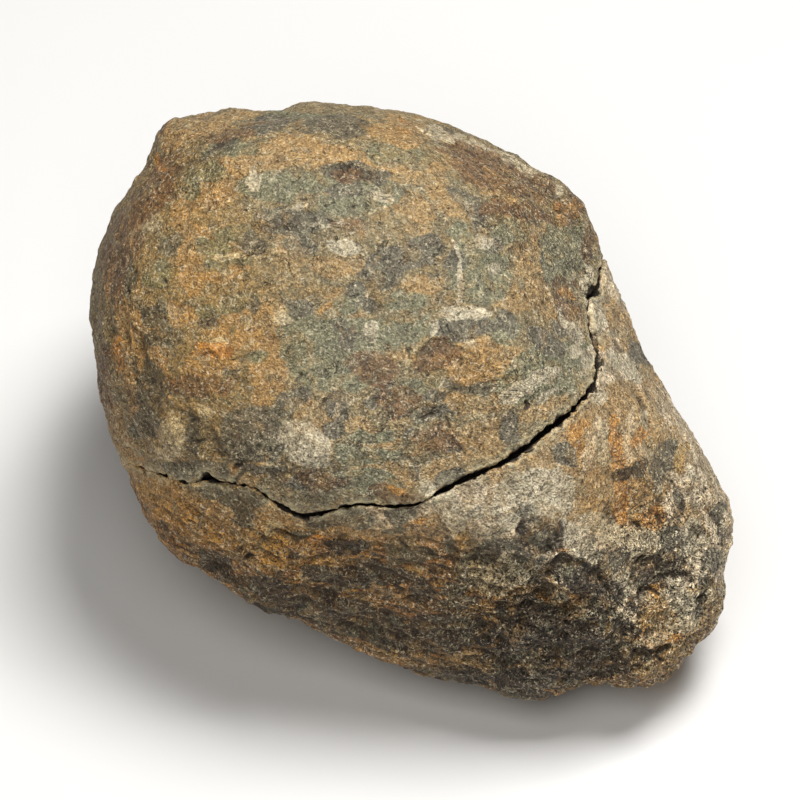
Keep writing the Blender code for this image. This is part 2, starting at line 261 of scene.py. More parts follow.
def oval_share(seen, row, softness):
    """1 inside an oval mark, 0 outside, soft at the rim."""
    across, up, half_long, half_wide, turn = row[:5]
    offset = seen - (across, up)
    angle = math.radians(turn)
    along = offset[:, 0] * math.cos(angle) + offset[:, 1] * math.sin(angle)
    aside = offset[:, 1] * math.cos(angle) - offset[:, 0] * math.sin(angle)
    reach = np.sqrt((along / half_long) ** 2 + (aside / half_wide) ** 2)
    return 1 - smooth_step(1 - softness, 1 + softness, reach)


def strongest(seen, rows, softness):
    """The strongest of some ovals at each point."""
    total = np.zeros(len(seen))
    for row in rows:
        total = np.maximum(total, oval_share(seen, row, softness) * row[5])
    return total


def line_distance(seen, line):
    """Signed distance from a broken line on the map: positive on its left."""
    best = np.full(len(seen), 1e9)
    signed = np.zeros(len(seen))
    for start, end in zip(line, line[1:]):
        start = np.array(start)
        step = np.array(end) - start
        share = np.clip(((seen - start) @ step) / (step @ step), 0, 1)
        distance = np.linalg.norm(seen - (start + share[:, None] * step), axis=1)
        left = step[0] * (seen - start)[:, 1] - step[1] * (seen - start)[:, 0]
        nearer = distance < best
        best = np.where(nearer, distance, best)
        signed = np.where(nearer, distance * np.where(left < 0, -1, 1), signed)
    return signed


# %% [markdown]
# ## Bumps and worn hollows
# A weathered stone isn't just noise: its larger forms have places. A bump is an oval that
# stands out, and where its height is negative it is worn in. Placing them one by one keeps
# control over the character of each area.

# %% Bumps
BUMPS = {
    "upper_half": [
        (-8.4, -4.9, 1.7, 2.2, 38, 0.28), (-21.3, -4, 1.2, 2.3, -4, 0.22),
        (-3.6, 21.4, 2.7, 1, -4, -0.16), (-12.7, -3.6, 2.7, 1.9, 0, 0.1),
        (-4.3, 13.9, 1.3, 0.7, -18, 0.1), (4.5, 3.6, 1.9, 1.4, 0, -0.12),
        (-0.5, 0.8, 1.5, 1.2, 0, -0.12), (9.1, 3.2, 3.3, 1.7, 5, 0.14),
        (-5, 12, 2.5, 0.9, 4, 0.1), (4, -2.2, 1.2, 0.9, 0, -0.15),
        (15.6, 19.5, 0.8, 0.6, -25, -0.25), (-17.8, -7.2, 1, 0.8, 0, -0.15),
        (-13.2, -7.4, 0.8, 1.7, -38, 0.14), (-22.1, 22.3, 0.4, 0.6, 25, -0.2),
        (7.3, 7.8, 2.3, 0.6, 0, 0.1), (-15.6, 13.1, 1.3, 0.4, 0, 0.1),
        (-8.6, 16.6, 2.7, 1, 5, -0.1), (18.9, 10.6, 0.6, 1.5, 10, 0.12),
        (19.4, 9.9, 0.5, 0.5, 0, -0.4), (-19.2, -3.4, 0.8, 1.9, 0, -0.14),
        (-1.3, 6.2, 1, 1, 0, 0.12), (-5.3, 20.6, 0.8, 0.5, 0, -0.12),
    ],
    "lower_half": [
        (14.4, -13.9, 2.3, 2.1, 0, 0.35), (21.6, -10, 0.8, 2.4, 4, -0.15),
        (-12.3, -16, 1.9, 0.8, -8, 0.22), (-7.1, -16.6, 1.2, 0.6, 5, 0.25),
        (1.9, -17.3, 1.7, 0.7, -5, 0.2), (-3.4, -22.1, 2.1, 0.9, 0, -0.3),
        (18.2, -17.8, 2.5, 1.3, -12, 0.3), (20.2, -22.6, 2.5, 1.7, 0, 0.3),
        (12, -23, 1.7, 1.7, 20, 0.25), (14.9, -19.7, 1, 1, 0, -0.3),
        (16.3, -24.5, 1.5, 0.8, 0, -0.25), (24.4, -14.5, 0.9, 1, 20, -0.15),
        (25, -11.8, 1.2, 1, 0, -0.25), (27.1, -15.1, 0.9, 1, 0, 0.25),
        (25.9, -17.3, 1.9, 0.6, 5, -0.3), (28.3, -20.4, 1, 1.9, 8, 0.25),
        (26.3, -24.3, 1, 0.5, 35, -0.25), (29.8, -19.7, 0.6, 1.5, -10, -0.2),
        (-4.3, -20.3, 2.3, 0.6, 5, 0.2), (1, -24.1, 1.7, 0.8, -12, 0.25),
        (-16.8, -16.3, 1.3, 0.6, -15, -0.25), (-15.2, -9.6, 2.9, 0.7, -8, -0.12),
        (-22.1, -9.6, 1.6, 1.2, -20, 0.15), (7.2, -15.8, 1.2, 1, 0, 0.18),
        (9.6, -14.4, 1, 1.2, 0, -0.15), (4.8, -16.3, 1.3, 1, 0, 0.15),
        (22.6, -15.4, 1.2, 1.2, 0, 0.18), (24, -18.7, 1, 0.8, 0, -0.2),
        (19.2, -19.7, 1, 0.8, 0, -0.25), (7.7, -19.7, 1.9, 0.8, 0, -0.15),
        (22.6, 2.9, 1.5, 0.7, -35, 0.1), (19.8, 5.3, 0.5, 0.8, 0, -0.3),
        (29, -7.5, 0.5, 1.1, -18, 0.15), (30.3, -16.4, 0.9, 1.2, -20, 0.2),
        (13.4, -16.8, 1, 0.8, 0, -0.2), (5.8, -24, 1.5, 0.8, -10, 0.2),
        (10.6, -26.9, 1.7, 0.7, -8, 0.2), (17.3, -26.2, 1.5, 0.6, 0, 0.2),
        (22.1, -25.4, 1.5, 0.8, 0, 0.25), (-8.6, -14.4, 2.1, 0.5, -8, 0.15),
        (-3.8, -13.3, 2.5, 0.4, 3, 0.15),
    ],
}
RELIEF_SOFTNESS = 0.5


def raised(seen, rows):
    """The height of all bumps and hollows, in mm."""
    height = np.zeros(len(seen))
    for row in rows:
        height += oval_share(seen, row, RELIEF_SOFTNESS) * row[5]
    return height


print("Bumps and hollows:", {node: len(rows) for node, rows in BUMPS.items()})

# %% [markdown]
# ## Ledges
# In places a thin sheet of skin has come off. Its edge is a broken line, and on the right
# of that line the skin drops, then rises again further off. Each row gives the drop and
# the reach in mm, and the line. A low rim along the edge catches the light.

# %% Ledges
LEDGES = {
    "upper_half": [
        (0.24, 3, [(-6.5, 21), (-5.8, 22), (-5, 22.4), (-4.1, 22.4), (-3.2, 21.9), (-2.1, 21.7),
            (-1, 21.8), (0, 21.4), (0.6, 20.6)]),
        (0.24, 2.4, [(-16.1, -4.3), (-15.6, -5), (-15, -5.7), (-14.4, -6), (-13.2, -6.1),
            (-12.1, -6.7), (-10.8, -7.1), (-9.4, -7.6)]),
        (0.22, 2.6, [(1.9, 1.4), (2, 2.6), (2.3, 3.7), (2.9, 4.6), (3.8, 5.2), (5.4, 5.2),
            (6.3, 4.7)]),
        (0.16, 2, [(-14.4, -6), (-14.3, -6.7), (-14.6, -7.2), (-14.1, -7.4), (-14.6, -8.1)]),
        (0.14, 2, [(-2.8, 13.3), (-2.3, 11.8), (-1.9, 10.7), (-1.2, 9.2)]),
        (0.18, 2, [(-21.5, -0.3), (-20.8, -0.9), (-20, -1.2), (-18.9, -1.9), (-17.9, -2.8),
            (-16.8, -3.6), (-16.1, -4.3)]),
        (0.16, 1.6, [(-22.3, -4.1), (-21.9, -4.8), (-21.3, -5.4), (-20.6, -5.9)]),
        (0.15, 2, [(-11.9, 16.4), (-11, 17.3), (-9.8, 17.9), (-8.2, 18.1), (-6.9, 17.6),
            (-6.5, 16.3)]),
        (0.16, 1.6, [(2.7, -1.2), (3.8, -0.9), (5.2, -1.2), (5.8, -2.1), (5.7, -3.4), (6.3, -4.1),
            (6.9, -5)]),
        (0.12, 1.8, [(-7.5, 12.8), (-5, 13.1), (-2.8, 12.9)]),
        (0.18, 1.8, [(14.4, 20.6), (15.4, 20), (16.3, 18.9), (16.9, 18), (17.9, 16.4)]),
        (0.14, 1.5, [(-9, 1.2), (-8.4, 2.1), (-7.5, 2.6)]),
        (0.14, 1.5, [(-6.9, -1.2), (-6, -0.3), (-5, -0.1)]),
        (0.16, 1.8, [(-20, 22.6), (-17.8, 23.7), (-15.8, 24.6), (-13.4, 24.8)]),
        (0.12, 1.5, [(4.8, 0), (6.2, 0.9), (8.2, 1.1), (9.8, 0.7)]),
        (0.14, 1.6, [(15.6, 9.1), (16.9, 7.4), (18, 5.8), (19.2, 4.3)]),
        (0.15, 2, [(12.5, 12.8), (10.4, 11), (9.8, 9.1), (10.6, 7.4)]),
        (0.14, 1.4, [(-2.5, -1), (-1.4, -0.3), (-0.4, -0.5)]),
        (0.14, 1.6, [(-17.5, 12.8), (-16.1, 13.2), (-14.6, 13), (-13.8, 11.8)]),
        (0.12, 1.5, [(3.4, 25.4), (5.3, 24.5), (6.9, 23.9), (9, 23.2)]),
    ],
    "lower_half": [
        (0.34, 2.4, [(-9, -18.5), (-8.3, -18), (-7.6, -17.6), (-6.5, -17.5), (-5.6, -17.2),
            (-4.6, -17.2), (-3.3, -17.6)]),
        (0.2, 1.6, [(-14, -15.8), (-13.6, -15.5), (-13.2, -15.4)]),
        (0.22, 1.8, [(-10.6, -13.3), (-9.4, -13.6), (-8.1, -13.7), (-6.9, -14.1)]),
        (0.22, 2, [(-6.1, -15.1), (-4.3, -14.5), (-2.7, -14.2), (-1, -14.7)]),
        (0.18, 1.5, [(-12.3, -13.9), (-11, -14.7), (-10.3, -15.8), (-10.2, -17)]),
        (0.26, 2.2, [(-5.8, -22.6), (-4.3, -21.2), (-2.9, -20.7), (-1.5, -21.3), (-0.4, -22.2),
            (1.2, -22.8), (2.9, -23.5)]),
        (0.2, 1.8, [(-18.6, -16.1), (-17.5, -15.6), (-16.1, -16), (-14.4, -17)]),
        (0.22, 1.8, [(-13.9, -17.8), (-12.3, -18.9), (-10.6, -19.5), (-8.6, -19.7)]),
        (0.2, 2.2, [(0.5, -19.7), (2.7, -18.9), (4.4, -19.3), (5.8, -20.4), (7.7, -21),
            (9.6, -20.3)]),
        (0.3, 2.2, [(10.6, -25), (10.3, -23.5), (10.8, -22.1), (12.1, -20.8), (13, -19.5),
            (14.4, -18.7)]),
        (0.26, 2, [(14.9, -15.8), (16.3, -15.2), (18, -15.5), (19.8, -16.4), (21.3, -17.8),
            (21.7, -19.3)]),
        (0.24, 2.2, [(18, -23.5), (18.4, -21.8), (19.7, -20.6), (21.3, -20.3), (22.8, -21.2),
            (23.4, -22.9), (24.2, -23.7)]),
        (0.22, 1.6, [(25, -15.5), (25.7, -14.7), (26.9, -14), (27.8, -14.3), (28.6, -15.5)]),
        (0.22, 1.4, [(24.8, -18.1), (26.3, -17.8), (27.8, -16.8), (28.8, -16.6)]),
        (0.22, 1.4, [(24, -24.3), (25.5, -24.5), (26.7, -23.9), (28.2, -23.5)]),
        (0.22, 1.2, [(24.8, -25.8), (26.1, -25.4), (27.5, -24.7), (28.8, -23.7)]),
        (0.2, 1.2, [(20.2, -26.6), (22.6, -26.2), (25, -26.2), (27.1, -25.4)]),
        (0.16, 1.6, [(25.4, -5.3), (26.7, -7), (27.5, -8.7), (28.2, -10.1)]),
        (0.16, 1.6, [(23.6, 1), (24.8, -1), (25.5, -2.8)]),
        (0.16, 1.4, [(19.2, 6), (20, 5.3), (20.4, 4.3)]),
        (0.18, 1.6, [(29.8, -17.3), (30.9, -17.8), (31.7, -16.8)]),
        (0.18, 1.6, [(4.4, -10.6), (5.4, -12), (6, -13.9), (6.7, -15.1)]),
        (0.18, 1.6, [(7.7, -12.8), (8.4, -13.9), (8.8, -15.5)]),
        (0.2, 2, [(12, -15.8), (11.7, -13.9), (12.5, -12.4), (14.2, -11.6), (15.7, -12.6),
            (16.3, -14.3)]),
    ],
}
RISER = (-0.05, 0.12)
LEVEL_PART = 0.3
RIM_BACK = 0.25
RIM_WIDTH = 0.2
RIM_HEIGHT = 0.25


def dropped(seen, rows):
    """How far the ledges drop the skin, in mm."""
    height = np.zeros(len(seen))
    for drop, reach, line in rows:
        right = -line_distance(seen, line)
        rise = 1 - smooth_step(LEVEL_PART * reach, reach, right)
        rim = np.exp(-((right + RIM_BACK) / RIM_WIDTH) ** 2)
        height += rim * drop * RIM_HEIGHT - smooth_step(*RISER, right) * rise * drop
    return height


print("Ledges:", {node: len(rows) for node, rows in LEDGES.items()})

# %% [markdown]
# ## Slits
# A slit is a short narrow cut where a flake or a vein has come out. Each row gives its
# width and depth in mm, and its line.

# %% Slits
SLITS = {
    "upper_half": [
        (0.28, 0.3, [(-14.78, -8.16), (-14.4, -7.78), (-14.02, -7.3)]),
        (0.22, 0.35, [(-14.69, -6.24), (-14.3, -6.82)]),
        (0.26, 0.35, [(-15.07, -7.01), (-14.4, -6.82)]),
        (0.3, 0.5, [(13.06, -0.67), (13.34, -0.96), (13.15, -1.25)]),
        (0.26, 0.14, [(-18.05, 3.84), (-17.28, 4.13), (-16.7, 3.74)]),
        (0.22, 0.3, [(-9.02, 1.34), (-8.54, 2.02)]),
        (0.22, 0.3, [(-6.72, -1.15), (-6.24, -0.38)]),
        (0.22, 0.25, [(3.26, 25.15), (3.65, 25.54)]),
        (0.22, 0.3, [(-6.43, 23.42), (-6.24, 23.23)]),
        (0.22, 0.3, [(-21.7, 11.04), (-21.5, 10.85)]),
        (0.22, 0.3, [(-25.25, 10.08), (-25.06, 9.89)]),
        (0.25, 0.3, [(-8.54, 18.82), (-8.16, 18.82)]),
        (0.24, 0.35, [(8.74, 17.18), (8.93, 16.8)]),
        (0.28, 0.3, [(15.94, 17.95), (16.42, 17.66)]),
        (0.28, 0.3, [(10.46, 16.99), (10.85, 16.7)]),
        (0.28, 0.3, [(18.72, 10.46), (19.2, 10.66)]),
        (0.3, 0.35, [(19.01, 9.5), (19.58, 9.12)]),
        (0.24, 0.3, [(-18.72, -4.61), (-17.95, -4.42)]),
        (0.26, 0.3, [(3.07, -2.21), (4.03, -1.82)]),
        (0.22, 0.3, [(5.38, -2.21), (5.76, -3.07)]),
        (0.22, 0.3, [(1.73, 4.32), (1.92, 3.55)]),
    ],
    "lower_half": [
        (0.34, 0.5, [(-13.82, -15.65), (-13.54, -15.26), (-13.25, -15.36)]),
        (0.34, 0.5, [(25.82, -25.15), (26.3, -24.48), (26.78, -24.1)]),
        (0.3, 0.4, [(25.54, -25.82), (26.11, -25.44)]),
        (0.3, 0.4, [(25.73, -11.71), (25.92, -12.29)]),
        (0.3, 0.35, [(23.62, -12.19), (24, -12.77)]),
        (0.26, 0.35, [(-12.29, -13.73), (-11.33, -14.11), (-10.56, -14.4)]),
        (0.26, 0.35, [(-10.18, -13.54), (-9.02, -13.82), (-8.06, -13.82)]),
        (0.26, 0.3, [(0.96, -14.02), (1.73, -14.69)]),
        (0.3, 0.4, [(-17.28, -16.51), (-16.51, -16.9)]),
        (0.34, 0.4, [(-12.96, -19.97), (-11.52, -20.64), (-10.37, -20.93)]),
        (0.3, 0.4, [(0.48, -18.24), (1.25, -18.72)]),
        (0.3, 0.4, [(1.73, -19.68), (2.69, -19.78)]),
        (0.3, 0.4, [(24, -18.91), (24.96, -18.53), (25.73, -19.1)]),
        (0.26, 0.4, [(23.62, -16.03), (24.38, -15.46)]),
        (0.3, 0.35, [(24, -0.29), (24.58, -1.25)]),
        (0.28, 0.3, [(21.7, 4.99), (22.27, 4.13)]),
        (0.34, 0.4, [(19.68, 5.76), (19.87, 4.99)]),
        (0.3, 0.3, [(15.17, -14.5), (15.65, -15.07)]),
        (0.3, 0.4, [(20.16, -17.57), (20.93, -18.72)]),
        (0.28, 0.3, [(3.84, -15.07), (4.42, -15.46)]),
        (0.3, 0.35, [(25.44, -17.57), (26.3, -17.38)]),
        (0.26, 0.3, [(8.64, -22.94), (9.6, -23.52)]),
        (0.28, 0.3, [(13.25, -25.44), (14.4, -25.82)]),
    ],
}


def cut(seen, rows):
    """How deep the slits are at each point, in mm."""
    depth = np.zeros(len(seen))
    for width, deep, line in rows:
        away = np.abs(line_distance(seen, line))
        depth = np.maximum(depth, deep * (1 - smooth_step(LEVEL_PART * width, width, away)))
    return depth


print("Slits:", {node: len(rows) for node, rows in SLITS.items()})

# %% [markdown]
# ## Weathering everywhere
# Under the placed marks goes relief that covers the whole stone: broad wear, thin sheets of
# skin with short risers, knobbly grain with sharp creases, pits where grains fell out, and
# on the lower half the edges of its beds. Some areas are rougher than others, so the
# strength is painted too, with the same ovals.

# %% Rough areas
ROUGHNESS = {"upper_half": 0.5, "lower_half": 0.7}
ROUGHER_BEHIND = 0.2
ROUGH_AREAS = {
    "upper_half": [
        (16.3, 14.9, 5, 10, 25, 0.4), (12.5, -0.5, 7, 5, 0, 0.25), (-25.9, 1.4, 4, 12, 0, 0.35),
        (-13.4, -7.2, 10, 3, -8, 0.35), (-20, 22, 5, 4, 0, 0.3), (2, -4, 7, 4, 0, 0.25),
    ],
    "lower_half": [
        (16.3, -21.6, 11, 6.5, -10, 1.1), (26.9, -18, 6, 9, 0, 0.8),
        (-8.6, -17.8, 13, 5, -20, 0.3), (26, -24, 5, 3, 20, 0.5),
    ],
}


def rough_share(node, seen, front):
    """How rough the skin is: painted on the broad face, even behind."""
    placed = ROUGHNESS[node] + strongest(seen, ROUGH_AREAS[node], RELIEF_SOFTNESS)
    return placed * front + (ROUGHNESS[node] + ROUGHER_BEHIND) * (1 - front)


print("Rough areas:", {node: len(rows) for node, rows in ROUGH_AREAS.items()})

# %% [markdown]
# ## Kinds of wear
# Each kind of wear is a way to shape one noise. Rounding it down gives sheets with short
# risers. Folding it at zero gives knobs with creases between them. A sawtooth across the
# beds gives worn bed edges, and scattered dots give pits.

# %% Kinds of wear
SHEETS_DEEP = 2.4
SHEETS_FINE = 0.6
SHEET_RISER = (0.42, 0.58)
KNOB_TOP = 0.5
KNOB_CREASE = 1.6
BEDS_FACING = np.array([0.19, 0.83, 0.52])
BED_SPACING = 1.5
BED_WAVES = ((5.0, 31, 1.0), (1.3, 32, 0.3))
BED_LIP = 0.2
DOT_WOBBLE = 0.4
DOT_WOBBLE_SIZE = 0.5
DOT_RIM = (0.2, 1.0)


def sheets(face, size, seed):
    """Thin sheets of skin: flat treads with short risers, in steps of 1."""
    height = lumps(face, size, seed) * SHEETS_DEEP + lumps(face, size / 3, seed + 1) * SHEETS_FINE
    tread = np.floor(height)
    return tread + smooth_step(*SHEET_RISER, height - tread)


def knobs(face, size, seed):
    """Round knobs with sharp creases between them."""
    return KNOB_TOP - np.abs(lumps(face, size, seed)) * KNOB_CREASE


def bedding(face):
    """The worn edges of thin beds: each stands out below and leans back above."""
    level = face @ BEDS_FACING / BED_SPACING
    for size, seed, reach in BED_WAVES:
        level += lumps(face, size, seed) * reach
    share = level - np.floor(level)
    rising = smooth_step(0, BED_LIP, share)
    return np.where(share < BED_LIP, rising, 1 - smooth_step(BED_LIP, 1.0, share)) - 0.5


def dotted(face, count, smallest, largest, seed):
    """Round dots scattered over the skin: 1 at their middles, 0 outside."""
    rng = np.random.default_rng(seed)
    centres = face[rng.integers(0, len(face), count)]
    sizes = rng.uniform(smallest, largest, count) ** 2 / largest
    tree = KDTree(count)
    for index, centre in enumerate(centres):
        tree.insert(centre, index)
    tree.balance()
    found = [tree.find(point) for point in face]
    reach = np.array([hit[2] for hit in found]) / sizes[[hit[1] for hit in found]]
    reach += lumps(face, DOT_WOBBLE_SIZE, seed) * DOT_WOBBLE
    return 1 - smooth_step(*DOT_RIM, reach)


print("Beds lie", BED_SPACING, "mm apart")

# %% [markdown]
# ## Adding up the wear
# The coats go from large to small. Each row names a kind of wear, the size of its forms in
# mm, its seed and its depth in mm.

# %% Weathering layers
WEAR_COATS = (
    (crumble, 5.0, 21, 0.22),
    (sheets, 6.0, 11, 0.11),
    (crumble, 1.7, 22, 0.20),
    (knobs, 2.6, 24, 0.26),
    (sheets, 1.9, 13, 0.07),
    (knobs, 0.9, 23, 0.10),
    (lumps, 0.5, 25, 0.06),
)
PIT_SEED = 7
PIT_SIZES = (0.3, 0.8)
PIT_DEPTH = 0.2
PITS = {"upper_half": 260, "lower_half": 460}


def weathering(node, face, rough):
    """Relief that covers the whole half, in mm."""
    height = np.zeros(len(face))
    for wear, size, seed, depth in WEAR_COATS:
        height += wear(face, size, seed) * depth
    height -= dotted(face, PITS[node], *PIT_SIZES, PIT_SEED) * PIT_DEPTH
    return height * rough


print("Coats of wear:", len(WEAR_COATS), "and pits:", PITS)

# %% [markdown]
# ## Where the lower half turns under
# The lower half has two sorts of skin. Its flank, on the right, is a paler stone. Below a
# ridge it turns under, browner and darker, partly its own colour and partly painted shade
# where it faces down; there its beds show as streaks.

# %% The ridge of the lower half
RIDGE = [
    (-26, -7), (-9, -13.5), (2, -13), (8, -14), (13.5, -16.5), (19.5, -20.5), (24, -24),
    (30, -24.5),
]
RIDGE_FADE = 1.6


def flank_share(seen):
    """1 on the flank above the ridge, 0 on the underside."""
    return smooth_step(-RIDGE_FADE, RIDGE_FADE, line_distance(seen, RIDGE))


print("The ridge has", len(RIDGE), "points")

# %% [markdown]
# ## How wide the crack stands
# In places the two halves touch, and the crack is only a hair wide. There both lips are
# drawn together, each half way, and the pull fades out along the walls and the skin. In two
# places they are prised apart instead. Noise across the crack makes its edges jagged.

# %% Width of the crack
TIGHT = [
    (-24, -7, 1.6, 0.04), (-20.8, -8, 0.7, 0.06), (-22.2, -7.6, 0.8, 0.2), (-9, -11.4, 1, 0.3),
    (-4.5, -11.2, 2.6, 0.3), (-0.7, -10.8, 2, 0.26), (2.4, -10.8, 1.6, 0.26), (6, -9.5, 5, 0.42),
    (15, -2, 9, 0.64),
]
PRISED = [(19.2, 7.2, 3.8, 0.26), (20.5, 11.6, 2.0, 0.18)]
OUTWARD = {"upper_half": -1, "lower_half": 1}
LEVEL_RADIUS = 0.6
PULL_FADE = (0.5, 2.2)
JAGS = ((1.6, 42, 0.14), (0.6, 43, 0.26), (0.35, 44, 0.20))
JAG_REACH = 0.6
JAG_LEAST = 0.2
WIDE_CRACK = 0.6
PRISE_REACH = 0.8


def near_place(seen, across, up, radius):
    """1 near a place on the map, 0 beyond a radius in mm."""
    distance = np.linalg.norm(seen - (across, up), axis=1)
    return 1 - smooth_step(LEVEL_RADIUS * radius, radius, distance)


def jagged(face, lips, widths):
    """How far the lips' jags push across the crack, in mm; less where it is narrow."""
    push = np.zeros(len(face))
    for size, seed, reach in JAGS:
        push += lumps(face, size, seed) * reach
    push *= np.exp(-((lips / JAG_REACH) ** 2))
    return push * np.clip(widths / WIDE_CRACK, JAG_LEAST, 1)


def drawn_together(points, seen, face, lips, steps):
    """Points near the lips, moved across the crack: to its placed width, with jagged edges."""
    lengths = np.maximum(np.linalg.norm(steps, axis=1), 1e-9)
    near = 1 - smooth_step(*PULL_FADE, lips)
    closing = np.zeros(len(points))
    for across, up, radius, gap in TIGHT:
        share = near * near_place(seen, across, up, radius)
        closing += share * np.maximum(lengths - gap * MM, 0) / 2
    push = jagged(face, lips, (lengths - 2 * closing) / MM)
    return points + steps * ((closing + push * MM) / lengths)[:, None]


def prised_open(points, seen, lips, side):
    """Points near the lips, moved apart sideways where the crack gapes."""
    moved = points.copy()
    for across, up, radius, gap in PRISED:
        share = near_place(seen, across, up, radius) * np.exp(-((lips / PRISE_REACH) ** 2))
        moved[:, 0] += share * side * gap * MM / 2
    return moved


print("Places with a set width:", len(TIGHT), "and prised open:", len(PRISED))

# %% [markdown]
# ## Smoothing and thinning
# Two of Blender's modifiers do the mesh work, and vertex groups steer them. Smooth rounds
# off the CAD's facets, but not the lips of the crack, which have to stay crisp. Decimate
# thins the mesh: most on the hidden walls, less behind, and least on the broad face.

# %% Modifier helpers
SMOOTH_PASSES = 24
SMOOTH_FACTOR = 0.5
TRIANGLE_LIMIT = 196000
WEIGHT_STEPS = 20
BOX_MARGIN = 0.01 * MM


def weight_group(piece, name, weights):
    """A vertex group from a row of weights, in a few steps."""
    group = piece.vertex_groups.new(name=name)
    steps = np.round(weights * WEIGHT_STEPS).astype(int)
    for step in range(1, WEIGHT_STEPS + 1):
        members = np.nonzero(steps == step)[0]
        group.add([int(member) for member in members], step / WEIGHT_STEPS, "REPLACE")


def smooth_facets(piece, weights):
    """Rounds off the CAD's facets, but not the crack's lips."""
    weight_group(piece, "away from lips", weights)
    smooth = piece.modifiers.new("facets", "SMOOTH")
    smooth.factor = SMOOTH_FACTOR
    smooth.iterations = SMOOTH_PASSES
    smooth.vertex_group = "away from lips"
    apply_modifiers(piece)


def thin_out(piece, weights):
    """Brings the piece under the triangle limit, most where the weight is high."""
    weight_group(piece, "plain", weights)
    thin = piece.modifiers.new("thin", "DECIMATE")
    thin.ratio = TRIANGLE_LIMIT / (2 * len(piece.data.polygons))
    thin.vertex_group = "plain"
    apply_modifiers(piece)


def move_points(mesh, points):
    """Writes the points back, kept inside the CAD model's box."""
    low, high = (np.array(corner) for corner in CAD_BOX)
    inside = np.clip(points, low + BOX_MARGIN * np.array([1, 1, 0]), high - BOX_MARGIN)
    mesh.vertices.foreach_set("co", inside.astype(np.float32).ravel())
    mesh.update()


print("Each half gets at most", TRIANGLE_LIMIT, "triangles")

# %% [markdown]
# ## Dressing a half
# The order matters. The facets are smoothed first. Then the relief is added up as one
# height, which fades out on the walls and at the floor. Last, the lips are set across the
# crack, the skin is moved along its normals, and the mesh is thinned.

# %% Make the halves
LIP_GUARD = (0.3, 1.3)
LIP_WEAR = 0.10
LIP_WEAR_REACH = 0.3
LIP_WEAR_EVEN = 0.6
LIP_LUMPS = (0.9, 41)
WALL_FADE = (0.2, 0.9)
FLOOR_FADE = (0.05, 0.6)
MARK_WARP = 0.5
BEDS_IN_FRONT = 0.28
BEDS_BEHIND = 0.14
DEEP_WALL = 1.5
THIN_BEHIND = 0.55
THIN_IN_FRONT = 0.15


def carved_height(node, face, seen, front):
    """All of the placed and general relief at each point, in mm."""
    marks = warped(seen, face) * MARK_WARP + seen * (1 - MARK_WARP)
    height = weathering(node, face, rough_share(node, seen, front))
    height += raised(marks, BUMPS[node]) * front
    height += dropped(marks, LEDGES[node]) * front
    height -= cut(seen, SLITS[node]) * front
    if node == "lower_half":
        height += bedding(face) * BEDS_IN_FRONT * (1 - flank_share(seen)) * front
        height += bedding(face) * BEDS_BEHIND * (1 - front)
    return height


def faded_height(height, face, lips, wall, points):
    """The height with worn lips, fading out down the crack's walls and at the floor."""
    wear = LIP_WEAR * np.exp(-lips / LIP_WEAR_REACH)
    height = height - wear * (LIP_WEAR_EVEN + lumps(face, *LIP_LUMPS))
    height *= np.where(wall, 1 - smooth_step(*WALL_FADE, lips), 1.0)
    return height * smooth_step(*FLOOR_FADE, points[:, 2] / MM)


def dressed_half(name, node, other):
    """The finely carved copy of a CAD half."""
    piece = remeshed(name, node)
    points = places(piece.data)
    wall = on_wall(points, directions(piece.data), across_crack(points, TREES[other]))
    lips = lip_distance(piece.data, wall, points)
    smooth_facets(piece, smooth_step(*LIP_GUARD, lips))
    points = places(piece.data)
    normals = directions(piece.data)
    face = face_coordinates(points)
    seen = on_map(face)
    front = seen_share(face, normals)
    height = faded_height(carved_height(node, face, seen, front), face, lips, wall, points)
    points = drawn_together(points, seen, face, lips, across_crack(points, TREES[other]))
    points = prised_open(points, seen, lips, OUTWARD[node])
    move_points(piece.data, points + normals * height[:, None] * MM)
    skin = THIN_BEHIND - (THIN_BEHIND - THIN_IN_FRONT) * front
    thin_out(piece, np.where(wall & (lips > DEEP_WALL), 1.0, skin))
    move_points(piece.data, places(piece.data))
    triangles = sum(len(polygon.vertices) - 2 for polygon in piece.data.polygons)
    print(name, "has", triangles, "triangles")
    return piece


TREES = {node: tree_of(node) for node in ("upper_half", "lower_half")}
upper_stone = dressed_half("upper_stone", "upper_half", "lower_half")
lower_stone = dressed_half("lower_stone", "lower_half", "upper_half")

# %% [markdown]
# ## Stains of the upper half
# The dome is mottled: tan and olive skin with slate-grey, brown and pale patches, and small
# rust spots. Each list holds ovals of one tone on the face map, as for the bumps. A tone
# further down covers the ones above it.

